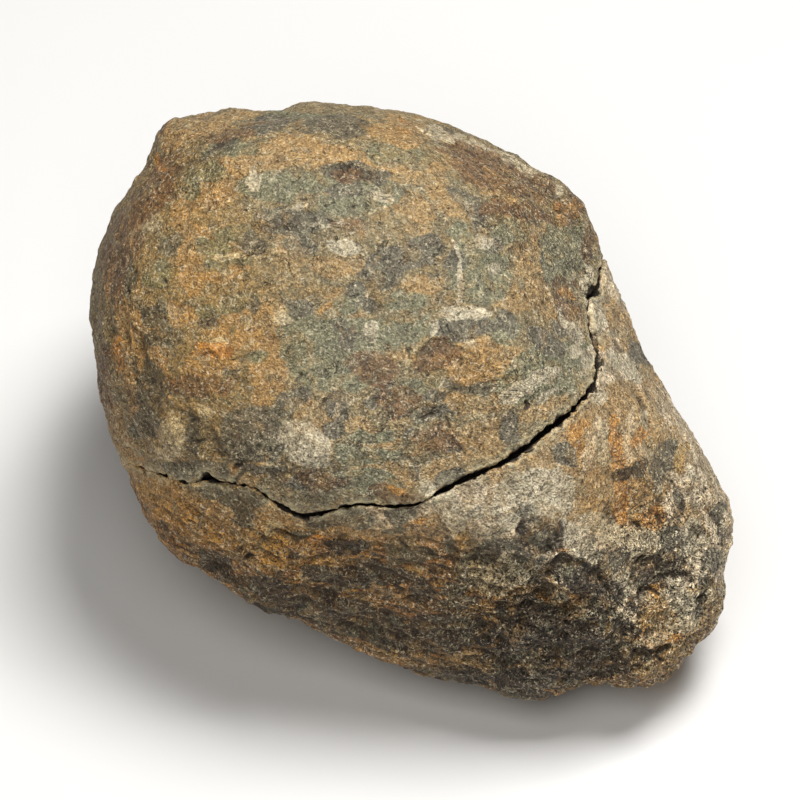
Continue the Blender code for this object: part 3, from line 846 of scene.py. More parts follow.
# %% Upper stains
UPPER_STAINS = {
    "tan": [
        (-23.2, 1.5, 2, 6, 0, 0.7), (15.4, 13.5, 2.2, 3, 20, 0.6), (-14.4, 21.9, 2.9, 1.2, 18, 1),
        (-8.6, 23.3, 4, 1.3, 0, 1), (-3.6, 22.8, 2.1, 0.8, -25, 1),
        (0.5, 21.5, 2.7, 0.7, -8, 0.8), (0.8, 25.1, 2.5, 1.2, -5, 0.8),
        (1.4, 26.4, 1.7, 0.6, -10, 0.9), (-17.1, 19.5, 2.5, 1.5, 30, 0.75),
        (-19.7, 18, 1.9, 1.2, 45, 0.8), (-19.2, 13.4, 1.1, 3.3, 0, 0.9),
        (-16.1, 11.9, 2.3, 0.9, 0, 1), (-10, 14.2, 1.2, 0.8, 50, 1), (-5, 12, 2.6, 0.9, 4, 1),
        (-5.5, 9.4, 1.6, 0.9, 10, 1), (-20.2, 7.9, 1.8, 1.2, 0, 0.95),
        (-14.4, 6.7, 3.8, 2.1, 0, 0.65), (-11.7, 3.8, 1.9, 4.4, 0, 0.85),
        (-17.3, 2.9, 2.5, 1.2, 0, 0.75), (-11.7, 0.3, 1.7, 1.7, 0, 0.9),
        (3, 15.3, 1.2, 0.7, -45, 1), (2.9, 10.5, 2, 1.2, 10, 0.95), (9, 3.2, 3.5, 1.9, 5, 1),
        (12.3, 10.3, 2.5, 2.3, -30, 0.9), (13, 13.6, 1.3, 0.7, -20, 0.9),
        (10.3, 20, 1.7, 0.9, -15, 0.8), (11.7, 19.1, 0.8, 0.7, 0, 0.9),
        (3.8, 21, 1.9, 0.6, 5, 0.9), (2.1, 18.2, 2.7, 1.3, -30, 0.7),
        (7.9, -0.7, 5, 0.9, 5, 0.85), (9, -4.3, 3.5, 1.9, 20, 0.9),
        (2.1, -8.2, 1.2, 1.4, 0, 0.95), (-0.2, -4.4, 1.5, 1, 0, 0.8),
        (-3.2, -2.8, 1.7, 1, 0, 0.8), (-2.8, 6.7, 0.8, 1.1, 0, 0.8), (0.8, 4.1, 1.5, 0.5, 0, 0.7),
        (-13.2, -7.4, 0.9, 1.9, -38, 1), (-2.7, 2.9, 1.5, 1, 0, 0.7),
        (-25.4, 5.8, 1.2, 4.8, 4, 0.8), (-26.7, -3.4, 1, 3.8, 14, 0.9),
        (-25, -5.8, 0.9, 3.3, 22, 0.9), (-18.2, 25.6, 2.9, 1, 5, 0.75),
        (-14.9, 27, 2.9, 0.7, 0, 0.8), (-21.1, 24.5, 1.3, 1.5, 50, 0.7),
        (5.6, 22.1, 1.9, 0.8, 10, 0.7), (6.2, 18.2, 2.3, 0.8, -10, 0.5),
        (-6.7, -4.3, 1, 1.9, 0, 0.6), (14.9, 8.6, 1.7, 1.2, -30, 0.8),
        (14.9, -1.4, 2.5, 0.9, 35, 0.9), (-18.2, 15.4, 2.3, 1.2, 0, 0.5),
        (-5.8, -1.9, 1, 1.2, 0, 0.4), (-8.6, -1, 1.9, 1.3, 0, 0.55),
        (-1.4, -7.2, 2.9, 0.8, 0, 0.6), (4.8, -7.2, 2.3, 0.9, 20, 0.7),
        (4.8, 19.7, 1.9, 1.2, -30, 0.6),
    ],
    "olive": [
        (-3.8, 9.1, 2.2, 1.6, 0, 0.5), (-5, 3.6, 4.2, 3.6, 0, 0.95),
        (-8.6, 4.3, 1.7, 2.7, 0, 0.85), (-0.5, 6.2, 3.5, 1.2, 0, 0.8), (1.4, 9.1, 2.9, 1, 0, 0.5),
        (-11.7, 20.4, 3.3, 1.5, 0, 0.75), (-3.6, 18.2, 2.7, 1.2, 0, 0.8),
        (-1.2, 19.5, 1.9, 1.3, 0, 0.85), (0.6, 23.2, 2.7, 0.8, 0, 1),
        (-17.1, 14.3, 1.2, 0.8, 0, 0.9), (-15.6, 12.8, 2.1, 0.7, 0, 0.9),
        (-17.6, 21.6, 1.7, 0.7, 8, 0.9), (-19, 19.9, 0.6, 1.3, 0, 0.9),
        (-14.4, 23.7, 1.7, 0.7, 15, 0.85), (-1, -3.6, 2.7, 0.6, 8, 0.9),
        (16.8, 13.9, 2.5, 3.3, -30, 0.7), (14.9, 2.2, 4.4, 2.5, 20, 0.95),
        (8.6, 11.5, 3.3, 2.9, 0, 0.75), (-4.3, -8.4, 4.2, 1.3, 0, 0.9),
        (-14.4, 8.6, 2.5, 0.8, 0, 0.6), (-14.9, 15.6, 2.1, 0.9, 0, 0.7),
        (-6.7, 20.4, 1.9, 1.3, 0, 0.7), (-8.6, 26.6, 3.8, 0.8, 0, 0.7), (2.9, 1, 2.9, 1, 0, 0.4),
        (-17.8, 8.2, 1.2, 0.8, 0, 0.8), (-22.1, 11.5, 1.3, 1.3, 0, 0.7),
        (11.5, 15.4, 1.9, 1.3, 0, 0.6), (10.6, 6.2, 2.5, 1.3, 0, 0.6),
        (18.2, 2.9, 1.3, 2.3, -20, 0.8), (4.8, 6.7, 2.9, 1.3, 0, 0.7),
        (-2.4, -5.8, 3.8, 1, 0, 0.7), (6.7, 15.1, 1.5, 1.9, 0, 0.6),
        (-8.6, 7.2, 1.3, 1.2, 0, 0.8), (-13, 3.8, 1.3, 0.8, 0, 0.6),
        (-17.3, 23.5, 1.5, 0.6, 30, 0.8),
    ],
    "slate": [
        (-8.6, 13.9, 2.2, 1.4, 0, 0.55), (-12.8, -3.6, 2.8, 2.2, 0, 1),
        (-9.8, -1.2, 1.3, 0.9, 40, 1), (-8.4, -0.1, 0.8, 0.8, 0, 0.9),
        (-4.9, -1.2, 1.1, 1.1, 0, 1), (-5.6, -3.4, 0.9, 1.2, -25, 1),
        (-8.6, 16.4, 3.1, 1.1, 5, 1), (-13.2, 14.6, 1.2, 1.3, 0, 0.9),
        (-10.3, 17.6, 2.3, 0.7, 8, 0.9), (-0.2, 12.2, 1.5, 2.3, -40, 0.9),
        (2.4, 13.7, 2.1, 1.1, 20, 1), (4, -1.9, 1.5, 0.7, 8, 1), (5.7, -4.4, 1.2, 0.9, -35, 1),
        (-1.3, -0.8, 1.2, 0.5, 0, 1), (1.5, -1.1, 0.9, 0.8, -45, 1), (2, -3.2, 0.6, 0.7, 0, 0.8),
        (-0.5, 0.9, 1.4, 1.2, 0, 0.6), (6.2, 6, 2.7, 1, 0, 1), (8.8, 6.4, 1.2, 0.7, 0, 1),
        (14.9, 5, 1.6, 1, -35, 1), (11.3, 6.7, 1.1, 1.4, 0, 0.9), (11.5, -3.4, 1.1, 1.7, 0, 0.85),
        (7.9, 1, 2.7, 0.5, -5, 0.8), (-23, 0.5, 1.1, 2.9, 0, 0.9),
        (-23.2, -2.8, 1.5, 1.3, 0, 0.9), (-19.3, -3.4, 0.8, 2.1, 0, 1),
        (-19, -7.2, 2.3, 0.9, 0, 0.95), (-21.1, 14.2, 1.1, 1.2, -10, 0.9),
        (-21.6, 5.3, 1.9, 0.9, 10, 0.8), (-23, 7.4, 1.3, 1.3, 0, 0.7),
        (-17.7, 7, 0.9, 0.6, 0, 0.8), (-19.5, 0.6, 1.4, 0.8, 0, 1),
        (-15.7, 1.2, 0.9, 1.1, 0, 0.8), (-3.6, 21.4, 2.9, 0.9, -4, 1),
        (-4.2, 19.5, 1.5, 0.9, 0, 0.8), (7.5, 18.7, 2.1, 1, -15, 0.8),
        (8.8, 17.4, 0.8, 1.2, 0, 0.8), (-4.8, 25.9, 3.1, 0.9, -4, 1),
        (-8.4, 25.3, 0.7, 0.6, 0, 0.9), (-11.3, 25.7, 1.7, 0.8, 0, 1),
        (-15.8, 24.1, 1.7, 0.5, 22, 1), (-17.9, 22.9, 1.3, 0.5, 35, 0.9),
        (5.3, 25, 1.7, 0.5, -22, 1), (4.3, -0.3, 1.2, 0.6, 0, 0.8),
        (-12.3, -6.8, 2.9, 0.4, -12, 1), (-7.7, -8.6, 2.9, 0.9, 0, 0.9),
        (-4.8, 6.7, 1, 0.6, 0, 0.6), (-12.7, 8.2, 0.8, 0.7, 0, 0.8), (-17.8, 0, 0.8, 0.8, 0, 0.8),
        (-2.4, 8.8, 1, 0.8, 0, 0.7), (10.1, 14.7, 1, 0.9, 0, 0.8), (6.2, 12.8, 1.3, 1, 0, 0.6),
        (-3.8, 5.3, 1, 1, 0, 0.6), (5.6, -8.2, 1.3, 0.9, 25, 0.8), (16.3, 6.7, 1.2, 1, 0, 0.5),
        (-3.6, 10.1, 1.3, 0.5, 0, 0.8), (-8.6, 8.4, 1, 0.6, -30, 0.9),
        (-17.1, -7.4, 1.9, 0.8, 0, 0.7), (-25, 11.5, 0.8, 1.7, 0, 0.8),
        (2.4, -7.2, 0.6, 1, 0, 0.5), (14.4, 17.3, 1.2, 0.9, 0, 0.7),
    ],
    "pale": [
        (-8.4, -4.9, 1.8, 2.3, 38, 1), (-21.3, -4, 1.2, 2.3, -4, 0.75),
        (-4.2, 13.9, 1.4, 0.7, -18, 1), (7.3, 7.7, 2.6, 0.7, 2, 0.95),
        (3.9, 6.1, 0.4, 0.9, -20, 0.9), (-1.6, 6.2, 0.7, 1, 0, 0.85),
        (6.5, 10.8, 0.3, 2.5, 0, 0.9), (6, 13.9, 0.3, 1.3, 25, 0.6),
        (13.4, 0.8, 3.3, 0.8, 28, 0.85), (17.4, 7, 0.7, 2.3, 22, 0.95),
        (18.9, 10.8, 0.6, 1.9, 10, 0.8), (19.1, 3.4, 0.7, 1.6, -15, 0.9),
        (-15.6, 13.2, 1.5, 0.4, 0, 0.9), (-13.2, 21.1, 0.7, 1.2, 0, 0.8),
        (15.6, 19.5, 0.9, 0.7, -25, 1), (4.8, 25.1, 2.5, 0.3, -24, 0.8),
        (8.6, 23.6, 2.3, 0.5, -30, 1), (12, 22.3, 2.1, 0.6, -32, 1), (14.4, 21, 1.7, 0.6, -38, 1),
        (-9.6, 7.2, 1, 0.7, 0, 0.9), (-1.2, 19.1, 1.2, 0.6, 0, 0.75), (17.8, 4.1, 1, 0.8, 0, 0.8),
        (9.4, 14.9, 1, 0.8, 0, 0.6), (-8.6, 18.2, 1, 0.4, 0, 0.5),
        (-17.8, -1.6, 1, 0.5, -30, 0.7), (-16.8, 4.8, 0.5, 0.8, 0, 0.7),
        (7.5, 4.8, 0.6, 0.3, 0, 0.4), (3.8, -8.9, 1, 1, 0, 0.6), (-5.8, 16.2, 2.1, 0.3, -3, 0.6),
        (-23, 16.3, 1.2, 0.6, 45, 0.7), (-22.1, 18.2, 0.6, 0.3, 30, 0.8),
        (-24.5, 14.9, 1.2, 0.8, 50, 0.7), (17.3, 17.3, 0.2, 1.3, -22, 0.9),
        (10.6, 12.2, 0.6, 1, 0, 0.5), (14.9, -0.5, 1.5, 0.3, 35, 0.7),
        (-0.5, -10.6, 1.3, 0.2, 0, 0.6),
    ],
    "brown": [
        (1, -0.5, 2.2, 1.5, 0, 0.65), (-1.6, 2.8, 3.2, 1.6, -10, 0.55), (-3, 16, 3, 1.2, 0, 0.35),
        (4.5, 3.6, 1.9, 1.4, 0, 1), (10.6, 20.8, 4.6, 1.3, -22, 0.9),
        (14.4, 20, 1.3, 1.2, -30, 1), (17.5, 18, 1, 1.4, -20, 1), (7.7, 23, 3.5, 0.9, -18, 0.9),
        (12.5, 17.6, 3.3, 0.7, -10, 0.9), (-23.2, 18.2, 2.9, 1.2, 45, 0.9),
        (-25.4, 15.4, 1.3, 2.3, 35, 0.8), (-26.4, 12, 1.3, 2.9, 10, 0.8),
        (0, -9.3, 2.3, 0.7, -5, 0.9), (-4.3, 20.8, 1.3, 0.8, 0, 0.8),
        (16.8, 9.9, 1, 1.3, 0, 0.85), (17.8, 8.2, 1, 0.8, 0, 0.7),
        (-22.1, 20.6, 2.9, 0.8, 48, 0.8), (-18.2, 1, 3.8, 1.3, 0, 0.55),
        (-10.6, 5.3, 0.8, 1, 0, 0.4), (19.2, 14.9, 0.8, 2.3, -15, 0.7),
        (-1.4, 1.4, 1.7, 1, 0, 0.7), (-22.1, 26.4, 1, 1.2, 50, 0.6),
        (-15.4, 25, 2.9, 0.6, 10, 0.6), (-27.4, 1.4, 0.8, 3.8, 0, 0.6),
        (4.8, -4.3, 2.3, 1.5, 0, 0.5), (-6.7, -8.2, 3.8, 1, 0, 0.5),
    ],
    "rust": [
        (-22.1, 22.3, 0.4, 0.8, 25, 1), (-17.1, 4.1, 1.9, 0.8, 0, 0.45),
        (17, 10.1, 0.8, 0.7, 0, 0.59), (-6.5, 8.6, 1, 0.5, 30, 0.52),
        (-24, -6.8, 0.8, 0.8, 0, 0.52), (16.3, 17.9, 0.5, 0.4, 0, 0.59),
        (17.8, 18.2, 0.6, 0.8, 0, 0.39), (0.5, -8.8, 1.5, 0.5, 0, 0.45),
        (-14.6, -6.8, 0.6, 0.8, 0, 0.45), (1.4, 25.9, 1.2, 0.5, -20, 0.33),
        (-26.1, 3.8, 0.6, 1.9, 0, 0.39),
    ],
}
print("Upper stains:", {tone: len(rows) for tone, rows in UPPER_STAINS.items()})

# %% [markdown]
# ## Stains of the lower half
# The lower half has ochre and rust on its flank, and black patches on the nose and along
# its beds.

# %% Lower stains
LOWER_STAINS = {
    "tan": [
        (16.1, -18.9, 1, 1.6, 0, 0.8), (26.4, -20.2, 2.4, 2.2, 30, 0.8),
        (16.3, -4.8, 3.4, 1.6, 35, 0.8), (24, -9.5, 2.4, 3.2, 15, 0.6),
        (-3.8, -13.4, 4.2, 0.6, 3, 0.9), (1.9, -17.3, 1.8, 0.8, -5, 1),
        (0.8, -24, 2.1, 0.9, -12, 0.8), (-4.8, -20.1, 2.9, 0.7, 5, 0.7),
        (1.3, -19.4, 0.8, 0.4, 0, 0.9), (7.7, -25.4, 2.7, 0.8, -5, 0.6),
        (17.8, -2.4, 3.8, 1.3, 38, 0.9), (22.1, -0.5, 1.5, 2.3, -30, 0.8),
        (20.2, -9.1, 2.9, 2.3, 0, 0.85), (16.3, -7.2, 1.9, 2.9, 20, 0.7),
        (17.8, -11, 1.7, 1.2, 0, 0.9), (25, -9.1, 1.7, 1.3, 0, 0.8), (24, 4.3, 1.3, 3.8, 28, 0.7),
        (25.9, -3.4, 1.5, 4.4, 28, 0.8), (21.1, 7.7, 1.2, 1.3, 0, 0.85),
        (17.3, -5.8, 1.3, 1.3, 0, 0.6), (10.6, -7.2, 2.3, 1, 18, 0.8),
        (30.9, -20.8, 0.6, 1.7, -22, 1), (28.3, -24.5, 2.9, 0.9, 38, 0.9),
        (25.9, -26.2, 2.3, 0.7, 20, 0.8), (25, -20.6, 1.2, 2.5, -10, 0.6),
        (29.8, -18.2, 2.3, 0.4, 5, 0.7), (3.8, -12.5, 1.7, 0.8, 0, 0.7),
        (7.5, -13.9, 0.6, 1.2, 0, 0.9), (-8.6, -13.9, 3.8, 1, -8, 0.6),
        (-15.4, -13, 4.2, 1.5, -18, 0.7), (-11, -12, 2.3, 1, 0, 0.7),
        (14.9, -4.3, 2.9, 1, 32, 0.7), (28.8, -12, 1.3, 2.9, 20, 0.5),
        (20.2, -26.6, 2.3, 0.4, 6, 0.8), (8.6, -18.7, 1.9, 0.5, 0, 0.6),
        (18.7, -18.7, 1.5, 0.9, 0, 0.5), (9.6, -20.6, 2.5, 0.5, 0, 0.7),
        (25.9, -13, 2.9, 0.6, 0, 0.6), (20.6, 4.8, 0.8, 1.2, 0, 0.5),
        (12.4, -19, 1.6, 0.9, 20, 0.8), (17.4, -24.2, 1.2, 0.7, 10, 0.8),
        (15.8, -20.6, 1.2, 0.7, -20, 0.6),
    ],
    "ochre": [
        (-21, -10.2, 2, 2.2, 0, 0.9), (-13, -14.6, 2.8, 1.4, -8, 0.8),
        (24.6, -21.6, 1.6, 1.2, 40, 0.8), (-22.1, -9.5, 1.9, 1.5, -20, 1),
        (-19.4, -12.4, 2.5, 0.9, -38, 0.8), (-12.3, -16, 2.1, 1, -8, 1),
        (-8.2, -15.8, 2.3, 0.4, 3, 0.8), (-16.8, -13.4, 2.9, 0.9, -25, 0.6),
        (28, -5.9, 0.5, 1.6, -25, 1), (7.2, -13.9, 0.5, 1.1, 0, 0.8),
        (15.6, -24.3, 0.9, 0.5, 0, 0.7), (-4.3, -18.7, 2.9, 0.5, 0, 0.4),
        (-24.1, -6.8, 0.8, 0.9, 0, 0.9), (1.4, -24.5, 1.2, 0.7, 0, 0.6),
        (24, -22.4, 0.8, 1.3, -30, 0.7), (-5.8, -15.8, 2.9, 0.4, 3, 0.5),
    ],
    "rust": [
        (-3.2, -18.4, 0.5, 0.4, 0, 1), (14.4, -20.1, 0.5, 0.9, -10, 1),
        (22.1, -10.3, 1, 1.8, 5, 1), (21.8, -5.8, 0.7, 3.3, 4, 0.75),
        (24, -4.3, 0.8, 1.3, -30, 0.7), (25, -11.8, 1.3, 1.2, 0, 0.8),
        (15.6, -16.9, 0.6, 1, -20, 0.9), (16.6, -14.7, 1, 0.6, 0, 0.7),
        (17.8, -19.1, 0.9, 0.6, 0, 0.7), (17.6, -20.9, 0.9, 0.5, 0, 0.7),
        (14.9, -22.1, 1, 0.5, 0, 0.6), (18.2, -2.9, 1.3, 0.8, 30, 0.6),
        (-6.7, -14.4, 1.5, 0.5, 0, 0.6), (1.9, -12.5, 1.9, 0.5, 0, 0.6),
        (-4.3, -16.8, 3.8, 0.8, 0, 0.4), (23.5, -23, 0.7, 0.8, 0, 0.6),
        (17.8, -4.3, 1, 2.1, 25, 0.4), (25.9, -18.7, 0.8, 1, 0, 0.5),
        (27.4, -23.5, 1, 0.4, 35, 0.8),
    ],
    "slate": [
        (11.2, -16.2, 3.9, 2.3, -5, 0.6), (13.9, -12.2, 2, 1.6, -20, 1),
        (26.4, -14.4, 1.8, 1.4, 0, 1), (22.1, -15.6, 1.6, 1.5, 0, 0.9),
        (-15.4, -9.6, 3.6, 0.9, -12, 1), (-15.2, -9.5, 3.5, 0.8, -8, 1),
        (-13.9, -11, 1, 1.2, 0, 0.7), (-4.8, -12, 3, 1, 4, 1), (0.8, -11.2, 1.3, 1, 0, 0.8),
        (7.5, -10.8, 1, 0.8, -40, 0.8), (0.5, -12.7, 1, 0.4, 0, 0.7),
        (5.8, -14.7, 0.8, 0.8, -40, 0.8), (26.4, -6.4, 0.9, 2.1, -28, 0.7),
        (25.9, -8.2, 0.6, 1.5, -20, 0.6), (20.2, -15.8, 1.2, 1.2, 0, 0.7),
        (22.6, -15.4, 1.3, 1.3, 0, 0.9), (26.9, -14.9, 1.1, 1.2, 0, 1),
        (30.5, -16.4, 1, 1.3, -20, 1), (24, 3.8, 1.2, 1.5, -30, 0.8),
        (16.8, -5.3, 1.2, 1.5, 30, 0.6), (6.7, -20.2, 2.1, 0.8, 0, 0.7),
        (1.9, -15.1, 2.3, 1, -10, 0.7), (8.6, -16.8, 2.5, 1.9, 0, 0.6),
        (-8.6, -13.7, 1.9, 0.4, -5, 0.7), (29.8, -20.2, 0.7, 1.7, -10, 0.8),
        (28.1, -19.9, 1, 1.2, 0, 0.5), (-4.3, -18.2, 2.9, 0.6, 5, 0.5),
        (31.7, -12, 0.8, 2.3, 0, 0.7), (6.2, -18.7, 1.5, 1, 0, 0.7),
        (27.8, -10.1, 0.8, 1.3, 0, 0.6), (20.2, 9.1, 0.8, 0.5, 0, 0.8),
        (15.8, -13.9, 0.7, 0.7, 0, 0.8),
    ],
    "pale": [
        (24.3, -14.6, 1.7, 2.1, 20, 1), (10.8, -17.2, 2.2, 1.7, 0, 0.75),
        (28.8, -13.9, 1.2, 2, 0, 0.6), (13.2, -8.9, 3.6, 1.7, 18, 0.9),
        (17.6, -13.8, 2.8, 1.1, -38, 0.9), (24, -14.2, 1.1, 1.7, 20, 1),
        (21.6, -19, 0.7, 2.2, -20, 0.7), (27.4, -18.6, 1, 2, 0, 0.7),
        (12.7, -9.3, 2.3, 1.3, 20, 0.95), (14.9, -11, 0.8, 2.1, -35, 0.9),
        (16.3, -13, 1.2, 1.2, -40, 0.75), (24.4, -14.4, 1.1, 1.2, 20, 1),
        (23.6, -17, 0.5, 1.3, 30, 0.9), (22.3, -18.5, 1, 0.7, 35, 0.9),
        (29, -7.5, 0.5, 1.2, -18, 1), (28.3, -20.4, 1.1, 2.1, 8, 0.9),
        (22.6, 2.8, 1.9, 0.9, -35, 0.9), (20.6, -4.9, 0.6, 2.1, 0, 0.9),
        (24.6, -2.2, 0.6, 1.2, 0, 0.85), (7.7, -10.8, 3.3, 0.9, 0, 0.6),
        (4.8, -10.1, 1.3, 0.6, 25, 0.7), (10.6, -12.8, 1.7, 0.9, 20, 0.8),
        (21.1, -13, 2.3, 0.9, 0, 0.7), (8.6, -16.3, 0.8, 1.3, 20, 0.5),
        (25.6, -9.3, 0.5, 0.5, 0, 0.9), (20.2, 7.2, 0.7, 1.3, 0, 0.9),
        (28.6, -22.4, 1.2, 0.6, 0, 0.8), (11, -15.4, 1, 0.4, 40, 0.8),
        (12, -16.3, 0.8, 0.4, 30, 0.8), (24, -23.5, 0.5, 0.6, 0, 0.4),
        (-6.7, -16.8, 1.3, 0.6, 10, 0.7), (-7.9, -17, 0.8, 0.7, 0, 0.8),
        (-13.9, -14.4, 0.6, 0.4, 0, 0.4), (19.2, 4.3, 0.3, 1, 0, 0.4),
        (26.4, -23.5, 1.5, 0.3, -30, 0.7), (32, -16, 0.2, 0.9, 0, 0.9),
        (20.2, 0, 1.2, 0.8, 30, 0.7), (17.3, 5.3, 0.4, 0.6, 0, 0.3),
        (6.2, -12, 1.5, 0.7, -30, 0.6), (-11.5, -12.5, 1, 0.6, 0, 0.6),
        (32.2, -13, 0.4, 1.5, 0, 0.6), (23.5, -15.8, 0.6, 0.8, 0, 0.8),
        (27.8, -17.3, 0.5, 0.8, 0, 0.4), (13.4, -17.6, 1.4, 0.6, 30, 0.7),
        (16.4, -19.2, 1, 0.5, -10, 0.6), (16.8, -9.4, 1.4, 2.2, 10, 0.7),
        (20.4, -12.4, 1.8, 0.9, -20, 0.8),
    ],
    "black": [
        (20.6, -24.2, 2.4, 2, 0, 1), (-3.4, -17.2, 1.6, 0.8, -5, 0.8),
        (15.4, -23, 4.6, 2.4, -5, 1), (18.8, -17.8, 2, 1.3, 10, 0.6),
        (12.7, -21.4, 2.2, 1.9, 0, 1), (20.2, -25.9, 3.8, 0.9, 0, 1),
        (-2.9, -21.6, 8, 1.6, -20, 0.8), (-9.6, -19.6, 4.2, 1, -28, 0.8),
        (-1, -17.2, 3.8, 1, -6, 0.7), (5.4, -22.4, 4, 1.2, -10, 0.7),
        (26, -16.4, 2, 0.8, 10, 0.8), (18.4, -17.2, 2.9, 1.4, -12, 1),
        (14.4, -13.4, 2.3, 1.9, 0, 0.55), (12.1, -23, 1.9, 1.6, 20, 0.8),
        (14.4, -18.2, 1.3, 2.1, 0, 0.3), (20.5, -22.6, 2.9, 1.7, 0, 0.9),
        (16.3, -22.6, 5.8, 1.9, 0, 0.7), (25.9, -17.1, 2.5, 0.9, 5, 1),
        (20.6, -18.7, 1.5, 1, -30, 0.9), (22.6, -24.7, 2.7, 1, -5, 0.9),
        (16.3, -26.6, 5.8, 0.9, 3, 0.95), (12.5, -28.3, 3.8, 0.7, -12, 0.9),
        (-3.6, -21.8, 3.3, 1.1, -3, 0.95), (1, -22.8, 2.7, 0.6, -22, 0.9),
        (-16.8, -16.1, 1.7, 0.8, -15, 0.9), (-4, -14.7, 2.1, 0.5, 5, 0.8),
        (-7.7, -18.7, 3.3, 0.7, 3, 0.8), (-5.2, -17, 3.4, 0.8, -4, 0.8),
        (-12, -20.2, 1.9, 0.6, -25, 0.9), (10.1, -25, 1.9, 1.2, 0, 0.7),
        (5.8, -26.9, 3.8, 0.8, -8, 0.8), (2.9, -18.7, 1.3, 1, 0, 0.6),
        (-1, -16.3, 2.5, 0.7, -5, 0.6), (22.1, -7.6, 1.2, 0.5, 20, 0.9),
        (-15.4, -18, 2.3, 0.6, -28, 0.5), (27.8, -15.8, 0.6, 0.5, 0, 0.7),
        (16.8, -25, 2.3, 0.9, 0, 0.9), (16.3, -15.8, 0.9, 0.8, 0, 0.5),
        (3.8, -23.5, 3.8, 1.3, -10, 0.5), (23.2, -19.7, 0.7, 0.8, 0, 0.5),
        (25, -25, 1, 0.8, 0, 0.6), (24, -7.2, 1.2, 0.5, 30, 0.5), (8.6, -22.6, 2.3, 1.3, 0, 0.45),
        (20.2, -20.6, 1.3, 1.2, 0, 0.8),
    ],
}
STAINS = {"upper_half": UPPER_STAINS, "lower_half": LOWER_STAINS}
print("Lower stains:", {tone: len(rows) for tone, rows in LOWER_STAINS.items()})

# %% [markdown]
# ## Patches where the map doesn't reach
# Behind, nobody has placed stains, so noise makes blotches of the same tones. Each tone has
# the size of its blotches in mm and the height of the noise at which one starts. Some areas
# are warmer in colour than others, and these are placed as ovals again.

# %% Blotches and warm areas
BLOTCHES = {
    "upper_half": {
        "tan": (4, 0.02),
        "olive": (3.4, 0.05),
        "slate": (2.6, 0.24),
        "pale": (1.8, 0.34),
        "brown": (3.8, 0.22),
        "rust": (1.4, 0.42),
    },
    "lower_half": {
        "tan": (3.6, 0.05),
        "ochre": (2.6, 0.26),
        "slate": (3, 0.18),
        "pale": (2, 0.3),
        "black": (4.6, 0.2),
        "rust": (1.5, 0.36),
    },
}
BLOTCH_RIM = 0.3
BLOTCH_SEED = 50
BLOTCH_FRAY_SEED = 70
BLOTCH_FRAY = 0.5
FRONT_BLOTCHES = 0.25
WARM_AREAS = {
    "upper_half": [
        (-19.2, 6.2, 9, 14, 0, 1), (-20, 18.7, 6, 6, 0, 0.9), (7.7, 2.4, 4, 3, 0, 0.6),
        (-2, 24, 10, 3, 0, 0.4), (12, 19, 6, 3, -35, 0.5),
    ],
    "lower_half": [
        (-15.4, -13, 14, 8, -15, 1), (1, -18.5, 10, 6, 0, 1), (22, -8.2, 4, 7, 0, 0.6),
        (24, -24.5, 6, 2.5, 15, 0.6),
    ],
}


def blotches(face, size, threshold, seed):
    """Ragged random patches: 1 inside, 0 outside."""
    height = lumps(face, size, BLOTCH_SEED + seed)
    height += lumps(face, size / 3, BLOTCH_FRAY_SEED + seed) * BLOTCH_FRAY
    return smooth_step(threshold, threshold + BLOTCH_RIM, height)


print("Blotches come in", {node: len(tones) for node, tones in BLOTCHES.items()}, "tones")

# %% [markdown]
# ## Measuring hollows
# Dirt gathers in hollows, and heights are rubbed pale. To find them, a copy of the skin is
# The material paints shade into hollows and a pale highlight onto heights. To find them, a copy
# of the skin is smoothed a few times. Where the real skin lies below the smooth one, there is a
# hollow. Few passes find fine pits, and many passes find broad dells.

# %% Hollows
FINE_PASSES = 6
BROAD_PASSES = 60


def hollows(mesh, points, normals, passes):
    """How far each point lies below the skin round it, in mm; negative where it stands proud."""
    ends = np.empty(len(mesh.edges) * 2, np.int32)
    mesh.edges.foreach_get("vertices", ends)
    here, there = ends.reshape(-1, 2).T
    count = np.bincount(ends, minlength=len(points))
    even = points.copy()
    for _ in range(passes):
        for axis in range(3):
            total = np.bincount(here, even[there, axis], len(points))
            total += np.bincount(there, even[here, axis], len(points))
            even[:, axis] = (even[:, axis] + total / count) / 2
    return ((even - points) * normals).sum(axis=1) / MM


print("Smoothing passes:", FINE_PASSES, "and", BROAD_PASSES)

# %% [markdown]
# ## Painting
# Everything the material has to know about a place is written to the mesh as an attribute,
# one number at each point: the tones, the hollows, the crack's walls and lips, the flank,
# the slits, the rough areas and the warm ones.

# %% Paint the attributes
STAIN_SOFTNESS = 0.55
WARM_SOFTNESS = 0.6
WALL_RIM = 0.5
LIP_REACH = 0.35
BEHIND_FADE = (-0.3, 0.3)
FLANK_LUMPS = (9.0, 61)
WARM_LUMPS = (11.0, 62)


def set_attribute(mesh, name, values):
    """Writes one number for each point, for the materials to read."""
    layer = mesh.attributes.get(name) or mesh.attributes.new(name, "FLOAT", "POINT")
    layer.data.foreach_set("value", np.asarray(values, np.float32))


def paint_tones(mesh, node, face, marks, front):
    """Placed stains in front, and random blotches everywhere else."""
    loose = 1 - (1 - FRONT_BLOTCHES) * front
    for seed, (tone, (size, threshold)) in enumerate(BLOTCHES[node].items()):
        placed = strongest(marks, STAINS[node][tone], STAIN_SOFTNESS) * front
        set_attribute(mesh, tone, np.maximum(placed, blotches(face, size, threshold, seed) * loose))


